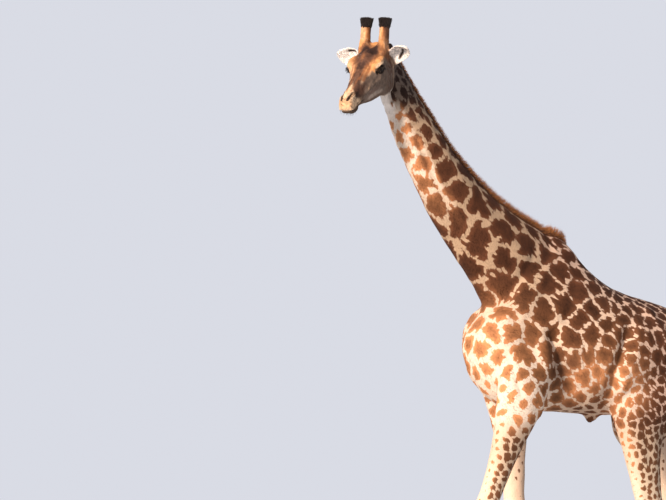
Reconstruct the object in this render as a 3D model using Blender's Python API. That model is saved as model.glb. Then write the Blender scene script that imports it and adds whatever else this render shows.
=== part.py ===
"""Life-size museum model of an adult male giraffe, walking: its solid parts.

Metres, +Z up. The animal faces -Y and its left side is +X. While the parts are made, y = 0 is
under the top of the withers and z = 0 is the floor; centre_on_floor() then moves the whole
animal so that the origin is the middle of its bounding box, at floor level.

The flesh is modelled whole, from lofted sections that overlap, fused into one surface and
parted with thin cuts at the throat, the neck's root, the tops of the legs and the tail's root.
"""

import math

import bmesh
import bpy
import numpy as np
from mathutils import Matrix, Vector

# ---- Driving dimensions: metres and degrees -------------------------------------------------

GAP = 0.0004  # clearance between neighbouring solids
CUT = 0.0006  # kerf of the thin cuts that part the flesh

SIDES = 28  # points round a lofted section
BODY_VOXEL = 0.011  # size of detail kept when the body is fused
HEAD_VOXEL = 0.0055  # the same for the head
BODY_TRIANGLES = 4050
HEAD_TRIANGLES = 2150

# Bones, each from the middle of one joint to the next, in the animal's side view (y, z).
# The left legs step forward and the right ones stay behind.
STANCE = 0.20  # feet either side of the middle line
SHOULDER = (-0.50, 2.24)
HIP = (0.80, 2.10)
FORE_JOINTS = {  # elbow, knee, fetlock, coronet
    "left": ((-0.46, 1.81), (-0.77, 1.04), (-0.985, 0.250), (-1.045, 0.080)),
    "right": ((-0.270, 1.84), (-0.240, 1.02), (-0.20, 0.235), (-0.275, 0.075)),
}
HIND_JOINTS = {  # stifle, hock, fetlock, coronet
    "left": ((0.415, 1.76), (0.605, 1.06), (0.545, 0.255), (0.475, 0.078)),
    "right": ((0.76, 1.64), (1.17, 1.06), (1.225, 0.240), (1.150, 0.075)),
}

# The head's own frame: the origin is inside the skull's back, u runs to the muzzle, v up out of
# the forehead and w to the animal's left.
HEAD_ORIGIN = (0.018, -1.407, 4.066)
HEAD_PITCH = 35.0  # nose below the horizontal
HEAD_TURN = 29.0  # nose towards the animal's left
HEAD_ROLL = 5.0  # its left side is the lower

EYE_AT = (0.295, 0.074, 0.097)  # u, v, w of the eyeball's centre
EYE_RADIUS = 0.031
OSSICONE_AT = (0.125, 0.140, 0.068)
OSSICONE_LENGTH = 0.196
OSSICONE_LEAN = 36.0  # backwards from v, so that it stands upright
OSSICONE_TUFT = 0.060  # height of the dark hair at its end
OSSICONE_FOOT = 0.055  # the cut at its root is this far up it
EAR_AT = (0.120, 0.022, 0.102)
EAR_LENGTH = 0.195
EAR_WIDTH = 0.130
EAR_CURVE = 0.022  # how far the middle of the ear bows backwards
EAR_RIM = 0.0015  # how far the rim stands in front of the ear's own line
MANE_HEIGHT = 0.062
MANE_THICKNESS = 0.034
MANE_DEPTH = 0.050  # how far its foot reaches into the neck before it is cut to fit

TAIL_SWING = 0.03  # how far to its left the tail's end hangs
TAIL_TUFT_LENGTH = 0.66
TAIL_TUFT_OVERLAP = 0.045  # how far the tuft reaches up over the tail's end
TAIL_TUFT_DRIFT = -0.05  # its end hangs this much further ahead

HOOF_LENGTH = 0.225
HOOF_WIDTH = 0.088  # of one claw
CLEFT = 0.008
CORONET_HEIGHT = 0.098
CORONET_RISE = 0.030  # the claw's top is higher in front than in the middle by this
CORONET_BACK = 0.050  # and lies this much further back than the sole
HOOF_LEAN = -0.002  # how far the claw's top leans away from the cleft
HEEL = 0.46  # share of the claw's length that lies behind its middle
TOE_CURL = 0.16  # how much shorter the toe is on the cleft's side
SOLE_AHEAD = 0.045  # the sole's middle is this far ahead of the coronet's

# The thin cuts: a point on each plane and its normal.
THROAT_CUT = ((0, -1.300, 3.830), (0, -0.564, 0.826))
THROAT_REACH = 0.155  # radius of the blade there, which spares the jaw
NECK_CUT = ((0, -0.42, 2.66), (0, -0.684, 0.73))
NECK_REACH = 0.62
TAIL_CUT = ((0, 1.215, 2.25), (0, 0.55, -0.83))
TAIL_REACH = 0.056
HORN_REACH = 0.062
LEG_CUT_HEIGHT = 1.655
LEG_CUT_ENDS = (-1.30, 1.195)  # it stops short of the tail

SHARP_EDGE = 50.0  # edges that bend more than this stay sharp
SMALLEST_BODY = 1e-6  # cubic metres: less than this is a crumb of a cut

SHEATH = ((0, 0.31, 1.745), (0, 0.225, 1.672))  # its root and its tip, under the belly

SIDE_SIGN = {"left": 1, "right": -1}


# ---- Sections and lofts ---------------------------------------------------------------------


def smooth_rows(rows, steps):
    """Rows of numbers with `steps` more between each two, on a Catmull-Rom curve."""
    rows = np.array(rows, float)
    padded = np.vstack([2 * rows[0] - rows[1], rows, 2 * rows[-1] - rows[-2]])
    found = []
    for i in range(1, len(rows)):
        a, b, c, d = padded[i - 1 : i + 3]
        for t in np.arange(steps) / steps:
            bend = 2 * a - 5 * b + 4 * c - d
            twist = 3 * b - a - 3 * c + d
            found.append(b + 0.5 * ((c - a) * t + bend * t**2 + twist * t**3))
    return np.array([*found, rows[-1]])


def outline(half_width, corner_top, corner_bottom, sides=SIDES):
    """A section's (across, along) points: two half superellipses, 2 is an ellipse and less is leaner."""
    angle = np.linspace(0, 2 * math.pi, sides, endpoint=False)
    c, s = np.cos(angle), np.sin(angle)
    power = 2 / np.where(s >= 0, corner_top, corner_bottom)
    return half_width * np.sign(c) * abs(c) ** power, np.sign(s) * abs(s) ** power


def ring(top, bottom, widest, half_width, corner_top, corner_bottom, across):
    """Points of a section that reaches from bottom to top and is widest part of the way between."""
    top, bottom = np.array(top, float), np.array(bottom, float)
    middle = bottom + (top - bottom) * widest
    x, s = outline(half_width, corner_top, corner_bottom)
    reach = np.where((s >= 0)[:, None], (top - middle) * s[:, None], (middle - bottom) * s[:, None])
    return middle + np.outer(x, across) + reach


def new_object(name, bm):
    mesh = bpy.data.meshes.new(name)
    bmesh.ops.recalc_face_normals(bm, faces=bm.faces)
    bm.to_mesh(mesh)
    bm.free()
    obj = bpy.data.objects.new(name, mesh)
    bpy.context.scene.collection.objects.link(obj)
    return obj


def loft(name, rings):
    """One closed body over a row of rings, with a point in the middle of each end."""
    bm = bmesh.new()
    loops = [[bm.verts.new(p) for p in points] for points in rings]
    for one, two in zip(loops, loops[1:]):
        for i in range(len(one)):
            j = (i + 1) % len(one)
            bm.faces.new((one[i], one[j], two[j], two[i]))
    for end in (loops[0], loops[-1]):
        middle = bm.verts.new(sum((v.co for v in end), Vector()) / len(end))
        for i in range(len(end)):
            bm.faces.new((end[i], end[(i + 1) % len(end)], middle))
    return new_object(name, bm)


def profile_loft(name, rows, steps=5, across=(1, 0, 0)):
    """A loft in the side view. A row is x, top y, top z, bottom y, bottom z, widest, half width,
    corner top, corner bottom."""
    rings = []
    for x, ty, tz, by, bz, widest, width, top, bottom in smooth_rows(rows, steps):
        rings.append(ring((x, ty, tz), (x, by, bz), widest, width, top, bottom, across))
    return loft(name, rings)


def along_chain(chain, place):
    """The point at a place on a chain: 1.25 is a quarter of the way from point 1 to point 2."""
    start = min(int(place), len(chain) - 2)
    return chain[start].lerp(chain[start + 1], place - start)


def limb_loft(name, joints, rows, steps=4):
    """A limb along a chain of joints. A row is a place on the chain, how far the limb reaches
    there to the front and to the back, and its half width."""
    chain = [Vector(j) for j in joints]
    table = smooth_rows(rows, steps)
    places = table[:, 0].clip(0, len(chain) - 1)
    middles = soften([along_chain(chain, place) for place in places])
    rings = []
    for i, (middle, row) in enumerate(zip(middles, table)):
        down = middles[min(i + 1, len(middles) - 1)] - middles[max(i - 1, 0)]
        across = Vector((0, -1, 0)).cross(down).normalized()
        if across.x < 0:
            across.negate()
        front = down.cross(across).normalized()
        if front.y > 0:
            front.negate()
        _, ahead, behind, width = row
        top, bottom = middle + front * ahead, middle - front * behind
        rings.append(ring(top, bottom, behind / (ahead + behind), width, 2.1, 2.1, across))
    return loft(name, rings)


def soften(points, rounds=2):
    """Rounds the corners of a chain of points."""
    for _ in range(rounds):
        points = [points[0]] + [
            (points[i - 1] + 2 * points[i] + points[i + 1]) / 4 for i in range(1, len(points) - 1)
        ] + [points[-1]]
    return points


def muscle(name, start, end, half_width, half_depth, across=(1, 0, 0), overrun=0.0):
    """A long ellipsoid from start to end, half_width thick along `across`."""
    start, end = Vector(start), Vector(end)
    along = (end - start).normalized()
    across = (Vector(across) - along * Vector(across).dot(along)).normalized()
    depth = along.cross(across)
    bm = bmesh.new()
    bmesh.ops.create_uvsphere(bm, u_segments=20, v_segments=14, radius=1)
    half = (end - start).length / 2 + overrun
    frame = Matrix((across * half_width, depth * half_depth, along * half)).transposed().to_4x4()
    frame.translation = (start + end) / 2
    bmesh.ops.transform(bm, matrix=frame, verts=bm.verts)
    return new_object(name, bm)


# ---- The flesh ------------------------------------------------------------------------------


def make_trunk():
    """Chest, ribs, belly and croup, with the back's line from the withers down to the tail."""
    # y, top z, bottom z, widest z, half width, corner top, corner bottom
    rows = (
        (-0.745, 2.245, 2.08, 2.17, 0.085, 2.0, 2.0),  # breast
        (-0.70, 2.31, 1.97, 2.18, 0.165, 2.0, 2.0),
        (-0.58, 2.49, 1.82, 2.20, 0.232, 1.9, 2.1),
        (-0.38, 2.84, 1.73, 2.19, 0.285, 1.75, 2.2),  # between the shoulders
        (-0.16, 2.935, 1.735, 2.15, 0.318, 1.6, 2.2),
        (-0.05, 2.950, 1.735, 2.12, 0.335, 1.55, 2.2),  # withers
        (0.04, 2.905, 1.73, 2.10, 0.346, 1.58, 2.2),
        (0.12, 2.812, 1.725, 2.09, 0.354, 1.62, 2.2),
        (0.22, 2.715, 1.72, 2.08, 0.362, 1.72, 2.2),
        (0.38, 2.615, 1.715, 2.08, 0.364, 1.82, 2.2),  # the widest of the barrel
        (0.56, 2.558, 1.735, 2.10, 0.350, 1.88, 2.2),
        (0.76, 2.515, 1.79, 2.13, 0.315, 1.9, 2.1),  # loin
        (0.95, 2.455, 1.87, 2.15, 0.265, 1.9, 2.0),  # croup
        (1.08, 2.365, 1.95, 2.16, 0.195, 1.9, 2.0),
        (1.15, 2.25, 2.03, 2.15, 0.095, 2.0, 2.0),
    )
    table = [
        (0, y, top, y, bottom, (widest - bottom) / (top - bottom), width, ct, cb)
        for y, top, bottom, widest, width, ct, cb in rows
    ]
    return profile_loft("trunk_form", table, steps=4)


NECK_ROWS = (
    # nape y, z, throat y, z, half width, corner on the nape's side
    (0.02, 2.84, -0.52, 2.24, 0.190, 1.7),
    (-0.16, 2.970, -0.685, 2.56, 0.205, 1.64),
    (-0.36, 3.065, -0.870, 2.80, 0.187, 1.66),
    (-0.56, 3.185, -1.030, 3.01, 0.166, 1.7),
    (-0.74, 3.335, -1.150, 3.22, 0.150, 1.75),
    (-0.905, 3.50, -1.245, 3.39, 0.136, 1.8),
    (-1.035, 3.675, -1.325, 3.55, 0.124, 1.85),
    (-1.150, 3.83, -1.385, 3.695, 0.114, 1.9),
    (-1.245, 3.965, -1.425, 3.82, 0.105, 1.95),
    (-1.325, 4.085, -1.46, 3.93, 0.094, 2.0),
)


def make_neck():
    table = [
        (0, ny, nz, ty, tz, 0.46, width, corner, 2.0) for ny, nz, ty, tz, width, corner in NECK_ROWS
    ]
    return profile_loft("neck_form", table, steps=4)


SHOULDER_MUSCLES = (
    # start x, y, z, end x, y, z (x outwards), half width, half depth, overrun
    ("blade", (0.085, -0.10, 2.72), (0.180, -0.44, 2.25), 0.100, 0.230, 0.05),
    ("point", (0.150, -0.55, 2.38), (0.195, -0.50, 1.98), 0.110, 0.150, 0.06),
    ("breast", (0.085, -0.59, 2.26), (0.095, -0.55, 1.90), 0.115, 0.135, 0.02),
)


def outward(point, side):
    """A point given for either side, with x outwards, on the side that is meant."""
    x, y, z = point
    return SIDE_SIGN[side] * x, y, z


def make_shoulder(side):
    """Shoulder blade, breast, upper arm and elbow, over the ribs."""
    elbow_y, elbow_z = FORE_JOINTS[side][0]
    muscles = (
        *SHOULDER_MUSCLES,
        ("triceps", (0.185, -0.20, 2.36), (0.215, elbow_y + 0.10, elbow_z + 0.02), 0.105, 0.165, 0.03),
        ("elbow", (0.240, elbow_y + 0.14, elbow_z + 0.05), (0.240, elbow_y + 0.12, elbow_z - 0.05),
         0.045, 0.060, 0.02),
    )
    made = []
    for name, start, end, wide, deep, overrun in muscles:
        across = outward((1, 0, 0) if name == "breast" else (1, 0.25, 0), side)
        made.append(muscle(name, outward(start, side), outward(end, side), wide, deep, across, overrun))
    return made


FORELEG_ROWS = (
    # place on shoulder-elbow-knee-fetlock-coronet, to the front, to the back, half width
    (0.10, 0.060, 0.070, 0.050),
    (0.40, 0.140, 0.150, 0.100),
    (0.75, 0.180, 0.170, 0.112),
    (1.00, 0.195, 0.165, 0.112),  # elbow
    (1.15, 0.168, 0.142, 0.104),
    (1.35, 0.124, 0.112, 0.090),
    (1.60, 0.090, 0.086, 0.075),
    (1.82, 0.078, 0.074, 0.067),
    (1.93, 0.087, 0.080, 0.074),
    (2.02, 0.088, 0.081, 0.077),  # knee
    (2.12, 0.068, 0.072, 0.064),
    (2.25, 0.050, 0.060, 0.050),
    (2.55, 0.044, 0.054, 0.043),
    (2.83, 0.046, 0.060, 0.046),
    (3.00, 0.060, 0.072, 0.060),  # fetlock
    (3.45, 0.054, 0.060, 0.056),
    (3.80, 0.072, 0.076, 0.074),
    (4.00, 0.094, 0.096, 0.086),  # coronet
)

HINDLEG_ROWS = (
    # place on hip-stifle-hock-fetlock-coronet, to the front, to the back, half width
    (0.00, 0.100, 0.120, 0.060),
    (0.22, 0.210, 0.240, 0.110),
    (0.50, 0.235, 0.270, 0.130),
    (0.80, 0.180, 0.265, 0.132),
    (1.00, 0.145, 0.260, 0.124),  # stifle
    (1.15, 0.128, 0.245, 0.112),
    (1.35, 0.112, 0.212, 0.094),
    (1.60, 0.106, 0.150, 0.074),
    (1.85, 0.104, 0.118, 0.062),
    (2.00, 0.084, 0.098, 0.064),  # hock
    (2.12, 0.070, 0.074, 0.060),
    (2.27, 0.055, 0.062, 0.050),
    (2.55, 0.048, 0.056, 0.043),
    (2.83, 0.048, 0.060, 0.045),
    (3.00, 0.060, 0.072, 0.058),  # fetlock
    (3.45, 0.053, 0.058, 0.054),
    (3.80, 0.070, 0.074, 0.072),
    (4.00, 0.094, 0.095, 0.085),  # coronet
)


def leg_chain(side, start, start_x, joints, joint_x):
    s = SIDE_SIGN[side]
    return [(s * start_x, *start)] + [(s * x, *joint) for x, joint in zip(joint_x, joints)]


def make_foreleg(side):
    chain = leg_chain(side, SHOULDER, 0.205, FORE_JOINTS[side], (0.218, 0.205, STANCE, STANCE))
    return limb_loft(f"foreleg_{side}_form", chain, FORELEG_ROWS)


HAUNCH_MUSCLES = (
    # start x, y, z, end x, y, z (x outwards), half width, half depth, overrun
    ("haunch", (0.150, 0.58, 2.30), (0.130, 0.98, 2.18), 0.130, 0.190, 0.06),
    ("hip_bone", (0.190, 0.54, 2.42), (0.225, 0.60, 2.30), 0.070, 0.080, 0.04),
    ("flank", (0.215, 0.22, 1.90), (0.225, 0.50, 1.85), 0.065, 0.130, 0.06),
)
SEAT = (0.125, 1.02, 2.13)  # the point of the buttock, x outwards


def make_hindleg(side):
    """Thigh, gaskin, hock and cannon, with the hamstrings and the point of the hock."""
    chain = leg_chain(side, HIP, 0.165, HIND_JOINTS[side], (0.225, 0.200, STANCE, STANCE))
    stifle, hock = Vector(chain[1]), Vector(chain[2])
    shin = (hock - stifle).normalized()
    back = Vector((0, -shin.z, shin.y)).normalized()
    heel = hock + back * 0.085
    calf = stifle.lerp(hock, 0.30) + back * 0.13
    made = [
        limb_loft(f"hindleg_{side}_form", chain, HINDLEG_ROWS),
        muscle("hamstring", outward(SEAT, side), calf, 0.092, 0.175, overrun=0.06),
        muscle("heel", heel - shin * 0.135, heel + shin * 0.01, 0.026, 0.034, overrun=0.02),
    ]
    for name, start, end, wide, deep, overrun in HAUNCH_MUSCLES:
        made.append(muscle(name, outward(start, side), outward(end, side), wide, deep, overrun=overrun))
    return made


TAIL_LINE = (
    # y, z, radius: root to end
    (0.98, 2.37, 0.062),
    (1.12, 2.335, 0.050),
    (1.215, 2.25, 0.038),
    (1.255, 2.08, 0.030),
    (1.262, 1.84, 0.025),
    (1.256, 1.60, 0.022),
    (1.246, 1.42, 0.020),
)


def round_loft(name, rows, steps=4, sides=12):
    """A loft of round sections. A row is x, y, z, radius along the side view, radius across it."""
    table = smooth_rows(rows, steps)
    rings = []
    for i, (x, y, z, deep, wide) in enumerate(table):
        before, after = table[max(i - 1, 0)][:3], table[min(i + 1, len(table) - 1)][:3]
        along = Vector(after - before).normalized()
        across = (Vector((1, 0, 0)) - along * along.x).normalized()
        up = along.cross(across)
        angle = np.linspace(0, 2 * math.pi, sides, endpoint=False)
        middle = Vector((x, y, z))
        rings.append([middle + across * wide * math.cos(a) + up * deep * math.sin(a) for a in angle])
    return loft(name, rings)


def make_tail():
    count = len(TAIL_LINE)
    swing = [TAIL_SWING * (i / (count - 1)) ** 2 for i in range(count)]
    rows = [(x, y, z, r, r) for x, (y, z, r) in zip(swing, TAIL_LINE)]
    return round_loft("tail_form", rows)


# ---- The head -------------------------------------------------------------------------------


def head_matrix():
    """From the head's own frame (w, u, v) to the animal's."""
    pitch, turn = math.radians(HEAD_PITCH), math.radians(HEAD_TURN)
    level = Vector((math.sin(turn), -math.cos(turn), 0))
    ahead = level * math.cos(pitch) - Vector((0, 0, math.sin(pitch)))
    up = level * math.sin(pitch) + Vector((0, 0, math.cos(pitch)))
    left = Vector((math.cos(turn), math.sin(turn), 0))
    roll = Matrix.Rotation(math.radians(HEAD_ROLL), 3, ahead)
    if (roll @ left).z > 0:
        roll.transpose()
    frame = Matrix((roll @ left, ahead, roll @ up)).transposed().to_4x4()
    frame.translation = HEAD_ORIGIN
    return frame


def head_point(u, v, w=0.0):
    return head_matrix() @ Vector((w, u, v))


HEAD_ROWS = (
    # u, top v, bottom v, widest, half width, corner top, corner bottom
    (-0.05, 0.070, -0.095, 0.50, 0.075, 2.0, 2.0),
    (0.02, 0.122, -0.138, 0.50, 0.100, 2.0, 2.0),  # poll
    (0.09, 0.150, -0.162, 0.54, 0.113, 2.1, 2.0),
    (0.16, 0.164, -0.170, 0.58, 0.121, 2.2, 2.0),  # between the ossicones
    (0.23, 0.163, -0.164, 0.62, 0.129, 2.3, 1.9),
    (0.29, 0.148, -0.152, 0.66, 0.127, 2.5, 1.8),  # eyes
    (0.36, 0.122, -0.136, 0.62, 0.096, 2.3, 1.8),
    (0.44, 0.095, -0.106, 0.59, 0.072, 2.2, 1.9),
    (0.52, 0.074, -0.080, 0.56, 0.057, 2.1, 2.0),
    (0.59, 0.061, -0.068, 0.55, 0.052, 2.2, 2.1),
    (0.635, 0.050, -0.066, 0.53, 0.054, 2.2, 2.1),  # nostrils
    (0.665, 0.030, -0.056, 0.52, 0.047, 2.1, 2.1),
    (0.684, -0.002, -0.034, 0.50, 0.026, 2.0, 2.0),  # lips
)
HEAD_MUSCLES = (
    # start u, v, w, end u, v, w, half width, half depth, overrun
    ("forehead_knob", (0.20, 0.150, 0), (0.31, 0.122, 0), 0.054, 0.046, 0.02),
    ("chin", (0.540, -0.066, 0), (0.606, -0.071, 0), 0.038, 0.028, 0.016),
    ("upper_lip", (0.605, -0.008, 0), (0.666, -0.026, 0), 0.044, 0.036, 0.02),
    ("poll_crest", (0.0, 0.085, 0), (0.11, 0.145, 0), 0.064, 0.036, 0.02),
)
HEAD_PAIRS = (
    # the same, once on each side
    ("brow", (0.225, 0.118, 0.098), (0.322, 0.110, 0.090), 0.034, 0.026, 0.026),
    ("under_eye", (0.225, 0.028, 0.104), (0.345, 0.020, 0.086), 0.032, 0.026, 0.02),
    ("cheek", (0.10, -0.062, 0.076), (0.31, -0.062, 0.068), 0.042, 0.092, 0.02),
    ("cheek_ridge", (0.33, 0.012, 0.086), (0.50, -0.010, 0.048), 0.018, 0.020, 0.02),
    ("nostril", (0.585, 0.034, 0.031), (0.648, 0.014, 0.036), 0.019, 0.021, 0.012),
    ("horn_root", (0.15, 0.105, 0.052), (0.115, 0.168, 0.061), 0.046, 0.052, 0.008),
    ("rear_knob", (0.055, 0.085, 0.070), (0.050, 0.135, 0.078), 0.026, 0.030, 0.005),
    ("ear_root", (0.120, 0.005, 0.082), (0.120, 0.032, 0.106), 0.036, 0.040, 0.01),
    ("jaw_angle", (0.06, -0.095, 0.055), (0.20, -0.135, 0.055), 0.034, 0.036, 0.02),
)


def make_head_forms():
    """Skull and jaw as one loft, with the muscles, brows, cheeks and horn roots over it."""
    across = (head_matrix().to_3x3() @ Vector((1, 0, 0))).normalized()
    rings = []
    for u, top, bottom, widest, width, ct, cb in smooth_rows(HEAD_ROWS, 4):
        rings.append(ring(head_point(u, top), head_point(u, bottom), widest, width, ct, cb, across))
    forms = [loft("skull_form", rings)]
    rows = list(HEAD_MUSCLES)
    for s in SIDE_SIGN.values():
        for name, (u0, v0, w0), (u1, v1, w1), *sizes in HEAD_PAIRS:
            rows.append((name, (u0, v0, w0 * s), (u1, v1, w1 * s), *sizes))
    for name, start, end, wide, deep, overrun in rows:
        forms.append(muscle(name, head_point(*start), head_point(*end), wide, deep, across, overrun))
    return forms


def ossicone_frame(side):
    """The ossicone's own frame: z runs up it from the skull, y to the front."""
    s = SIDE_SIGN[side]
    lean = math.radians(OSSICONE_LEAN)
    turn = head_matrix().to_3x3()
    up = (turn @ Vector((0, -math.sin(lean), math.cos(lean)))).normalized()
    across = turn @ Vector((1, 0, 0))
    across = (across - up * across.dot(up)).normalized()
    frame = Matrix((across, up.cross(across), up)).transposed().to_4x4()
    u, v, w = OSSICONE_AT
    frame.translation = head_point(u, v, w * s)
    return frame


OSSICONE_ROWS = (
    # share of the length, half width, half depth
    (-0.20, 0.042, 0.054),
    (0.02, 0.043, 0.052),
    (0.22, 0.037, 0.043),
    (0.45, 0.034, 0.037),
    (0.70, 0.034, 0.036),
    (0.85, 0.037, 0.039),
    (0.96, 0.042, 0.044),
    (1.00, 0.043, 0.045),
    (1.01, 0.030, 0.032),
)


def turned(name, frame, rows, steps, sides=20):
    """A loft round a frame's z axis. A row is height, half width, half depth."""
    angle = np.linspace(0, 2 * math.pi, sides, endpoint=False)
    rings = []
    for height, wide, deep in smooth_rows(rows, steps):
        rings.append([frame @ Vector((wide * math.cos(a), deep * math.sin(a), height)) for a in angle])
    return loft(name, rings)


def make_ossicone_form(side):
    rows = [(share * OSSICONE_LENGTH, wide, deep) for share, wide, deep in OSSICONE_ROWS]
    return turned(f"ossicone_{side}_form", ossicone_frame(side), rows, 3)


# ---- Fusing, thinning and parting -----------------------------------------------------------


def joined(name, objects):
    """The objects' evaluated meshes as one object; the originals go."""
    graph = bpy.context.evaluated_depsgraph_get()
    bm = bmesh.new()
    for obj in objects:
        mesh = bpy.data.meshes.new_from_object(obj.evaluated_get(graph))
        mesh.transform(obj.matrix_world)
        bm.from_mesh(mesh)
        bpy.data.meshes.remove(mesh)
    for obj in objects:
        bpy.data.objects.remove(obj)
    mesh = bpy.data.meshes.new(name)
    bm.to_mesh(mesh)
    bm.free()
    obj = bpy.data.objects.new(name, mesh)
    bpy.context.scene.collection.objects.link(obj)
    return obj


def baked(obj):
    """Applies the object's modifiers to its mesh."""
    bpy.context.view_layer.update()
    mesh = bpy.data.meshes.new_from_object(obj.evaluated_get(bpy.context.evaluated_depsgraph_get()))
    obj.modifiers.clear()
    obj.data = mesh
    return obj


def fused(name, forms, voxel, smoothing):
    """The forms melted into one surface. smoothing holds (rounds, from height, to height) triples:
    each fades in between the two heights."""
    obj = joined(name, forms)
    remesh = obj.modifiers.new("melt", "REMESH")
    remesh.mode = "VOXEL"
    remesh.voxel_size = voxel
    baked(obj)
    for rounds, low, high in smoothing:
        group = obj.vertex_groups.new(name="smoothed")
        for vert in obj.data.vertices:
            share = min(max((vert.co.z - low) / (high - low), 0), 1)
            group.add([vert.index], share, "REPLACE")
        soften_it = obj.modifiers.new("soften", "SMOOTH")
        soften_it.factor = 0.5
        soften_it.iterations = rounds
        soften_it.vertex_group = group.name
        baked(obj)
        obj.vertex_groups.clear()
    return obj


def thinned(obj, triangles):
    """Fewer, larger triangles where the surface is flat."""
    faces = sum(len(p.vertices) - 2 for p in obj.data.polygons)
    thin = obj.modifiers.new("thin", "DECIMATE")
    thin.ratio = triangles / faces
    thin.use_collapse_triangulate = True
    return baked(obj)


def boolean(obj, cutter):
    """Cuts the cutter out of the object, and removes the cutter."""
    cut = obj.modifiers.new("cut", "BOOLEAN")
    cut.operation = "DIFFERENCE"
    cut.object = cutter
    cut.solver = "EXACT"
    baked(obj)
    bpy.data.objects.remove(cutter)
    return obj


def slab(name, middle, normal, radius, thickness):
    """A flat round blade, centred on middle and square to normal."""
    bm = bmesh.new()
    bmesh.ops.create_cone(
        bm, cap_ends=True, segments=24, radius1=radius, radius2=radius, depth=thickness
    )
    turn = Vector((0, 0, 1)).rotation_difference(Vector(normal)).to_matrix().to_4x4()
    turn.translation = middle
    bmesh.ops.transform(bm, matrix=turn, verts=bm.verts)
    return new_object(name, bm)


def islands(obj):
    """The object's separate bodies as objects, each with the middle of its box."""
    bm = bmesh.new()
    bm.from_mesh(obj.data)
    seen, groups = set(), []
    for start in bm.verts:
        if start in seen:
            continue
        group, queue = [], [start]
        seen.add(start)
        while queue:
            vert = queue.pop()
            group.append(vert)
            for edge in vert.link_edges:
                other = edge.other_vert(vert)
                if other not in seen:
                    seen.add(other)
                    queue.append(other)
        groups.append(group)
    found = []
    for group in groups:
        index = {v: i for i, v in enumerate(group)}
        faces = {f for v in group for f in v.link_faces}
        mesh = bpy.data.meshes.new("island")
        mesh.from_pydata([v.co for v in group], [], [[index[v] for v in f.verts] for f in faces])
        piece = bpy.data.objects.new("island", mesh)
        bpy.context.scene.collection.objects.link(piece)
        found.append(piece)
    bm.free()
    bpy.data.objects.remove(obj)
    return found


def middle_of(obj):
    points = np.array([v.co for v in obj.data.vertices])
    return Vector((points.min(axis=0) + points.max(axis=0)) / 2)


def volume_of(obj):
    bm = bmesh.new()
    bm.from_mesh(obj.data)
    found = bm.calc_volume()
    bm.free()
    return abs(found)


def grown(obj, distance):
    """A copy of the object, larger by distance all over."""
    copy = obj.copy()
    copy.data = obj.data.copy()
    copy.name = obj.name + "_grown"
    bpy.context.scene.collection.objects.link(copy)
    grow = copy.modifiers.new("grow", "DISPLACE")
    grow.strength = distance
    grow.mid_level = 0
    return baked(copy)


def largest(obj):
    """Only the object's largest body."""
    name = obj.name
    pieces = sorted(islands(obj), key=volume_of)
    for piece in pieces[:-1]:
        bpy.data.objects.remove(piece)
    return named(pieces[-1], name)


def named(obj, name):
    obj.name = name
    obj.data.name = name
    return obj


def nearest(pieces, point):
    """Takes out of the list the piece whose middle lies nearest to a point."""
    point = Vector(point)

    def distance(piece):
        return (middle_of(piece) - point).length

    found = min(pieces, key=distance)
    pieces.remove(found)
    return found


# ---- Ears, eyes, hooves, mane and tail tuft -------------------------------------------------

EAR_ROWS = (
    # share of the length, share of the width, depth of the hollow, thickness
    (-0.12, 0.34, 0.000, 0.034),
    (0.00, 0.42, 0.004, 0.032),
    (0.12, 0.56, 0.022, 0.020),
    (0.30, 0.84, 0.034, 0.013),
    (0.50, 1.00, 0.034, 0.010),
    (0.70, 0.90, 0.026, 0.009),
    (0.88, 0.56, 0.012, 0.008),
    (0.97, 0.24, 0.003, 0.007),
    (1.00, 0.08, 0.000, 0.005),
)
EAR_AIM = {"left": (0.10, 0.68, 0.73), "right": (0.02, 0.40, 0.91)}  # u, v, w: out and up
EAR_OPENING = {"left": (0.90, -0.16, 0.34), "right": (0.88, 0.24, 0.02)}  # where the hollow looks


def make_ear(side):
    """A leaf, hollow in front, thick at its root."""
    s = SIDE_SIGN[side]
    turn = head_matrix().to_3x3()
    (au, av, aw), (fu, fv, fw) = EAR_AIM[side], EAR_OPENING[side]
    along = (turn @ Vector((aw * s, au, av))).normalized()
    face = turn @ Vector((fw * s, fu, fv))
    face = (face - along * face.dot(along)).normalized()
    across = along.cross(face)
    u, v, w = EAR_AT
    root = head_point(u, v, w * s)
    half = np.linspace(-1, 1, 7)
    rings = []
    for share, width, hollow, thick in smooth_rows(EAR_ROWS, 1):
        bow = EAR_CURVE * math.sin(math.pi * max(share, 0))
        middle = root + along * share * EAR_LENGTH - face * bow
        side_step = across * width * EAR_WIDTH / 2
        back = [middle + side_step * t - face * (hollow + thick) * (1 - t * t) for t in half]
        front = [middle + side_step * t - face * (hollow * (1 - t * t) - EAR_RIM) for t in half[::-1]]
        rings.append(back + front)
    return loft(f"ear_{side}", rings)


def make_ball(name, middle, radius, segments=14, rows=8):
    bm = bmesh.new()
    bmesh.ops.create_uvsphere(bm, u_segments=segments, v_segments=rows, radius=radius)
    bmesh.ops.translate(bm, vec=Vector(middle), verts=bm.verts)
    return new_object(name, bm)


CLAW_ROWS = (
    # share of the height, share of the size
    (0, 0.95),
    (0.04, 1.0),
    (0.45, 0.98),
    (0.9, 0.90),
    (1, 0.86),
)


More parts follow.
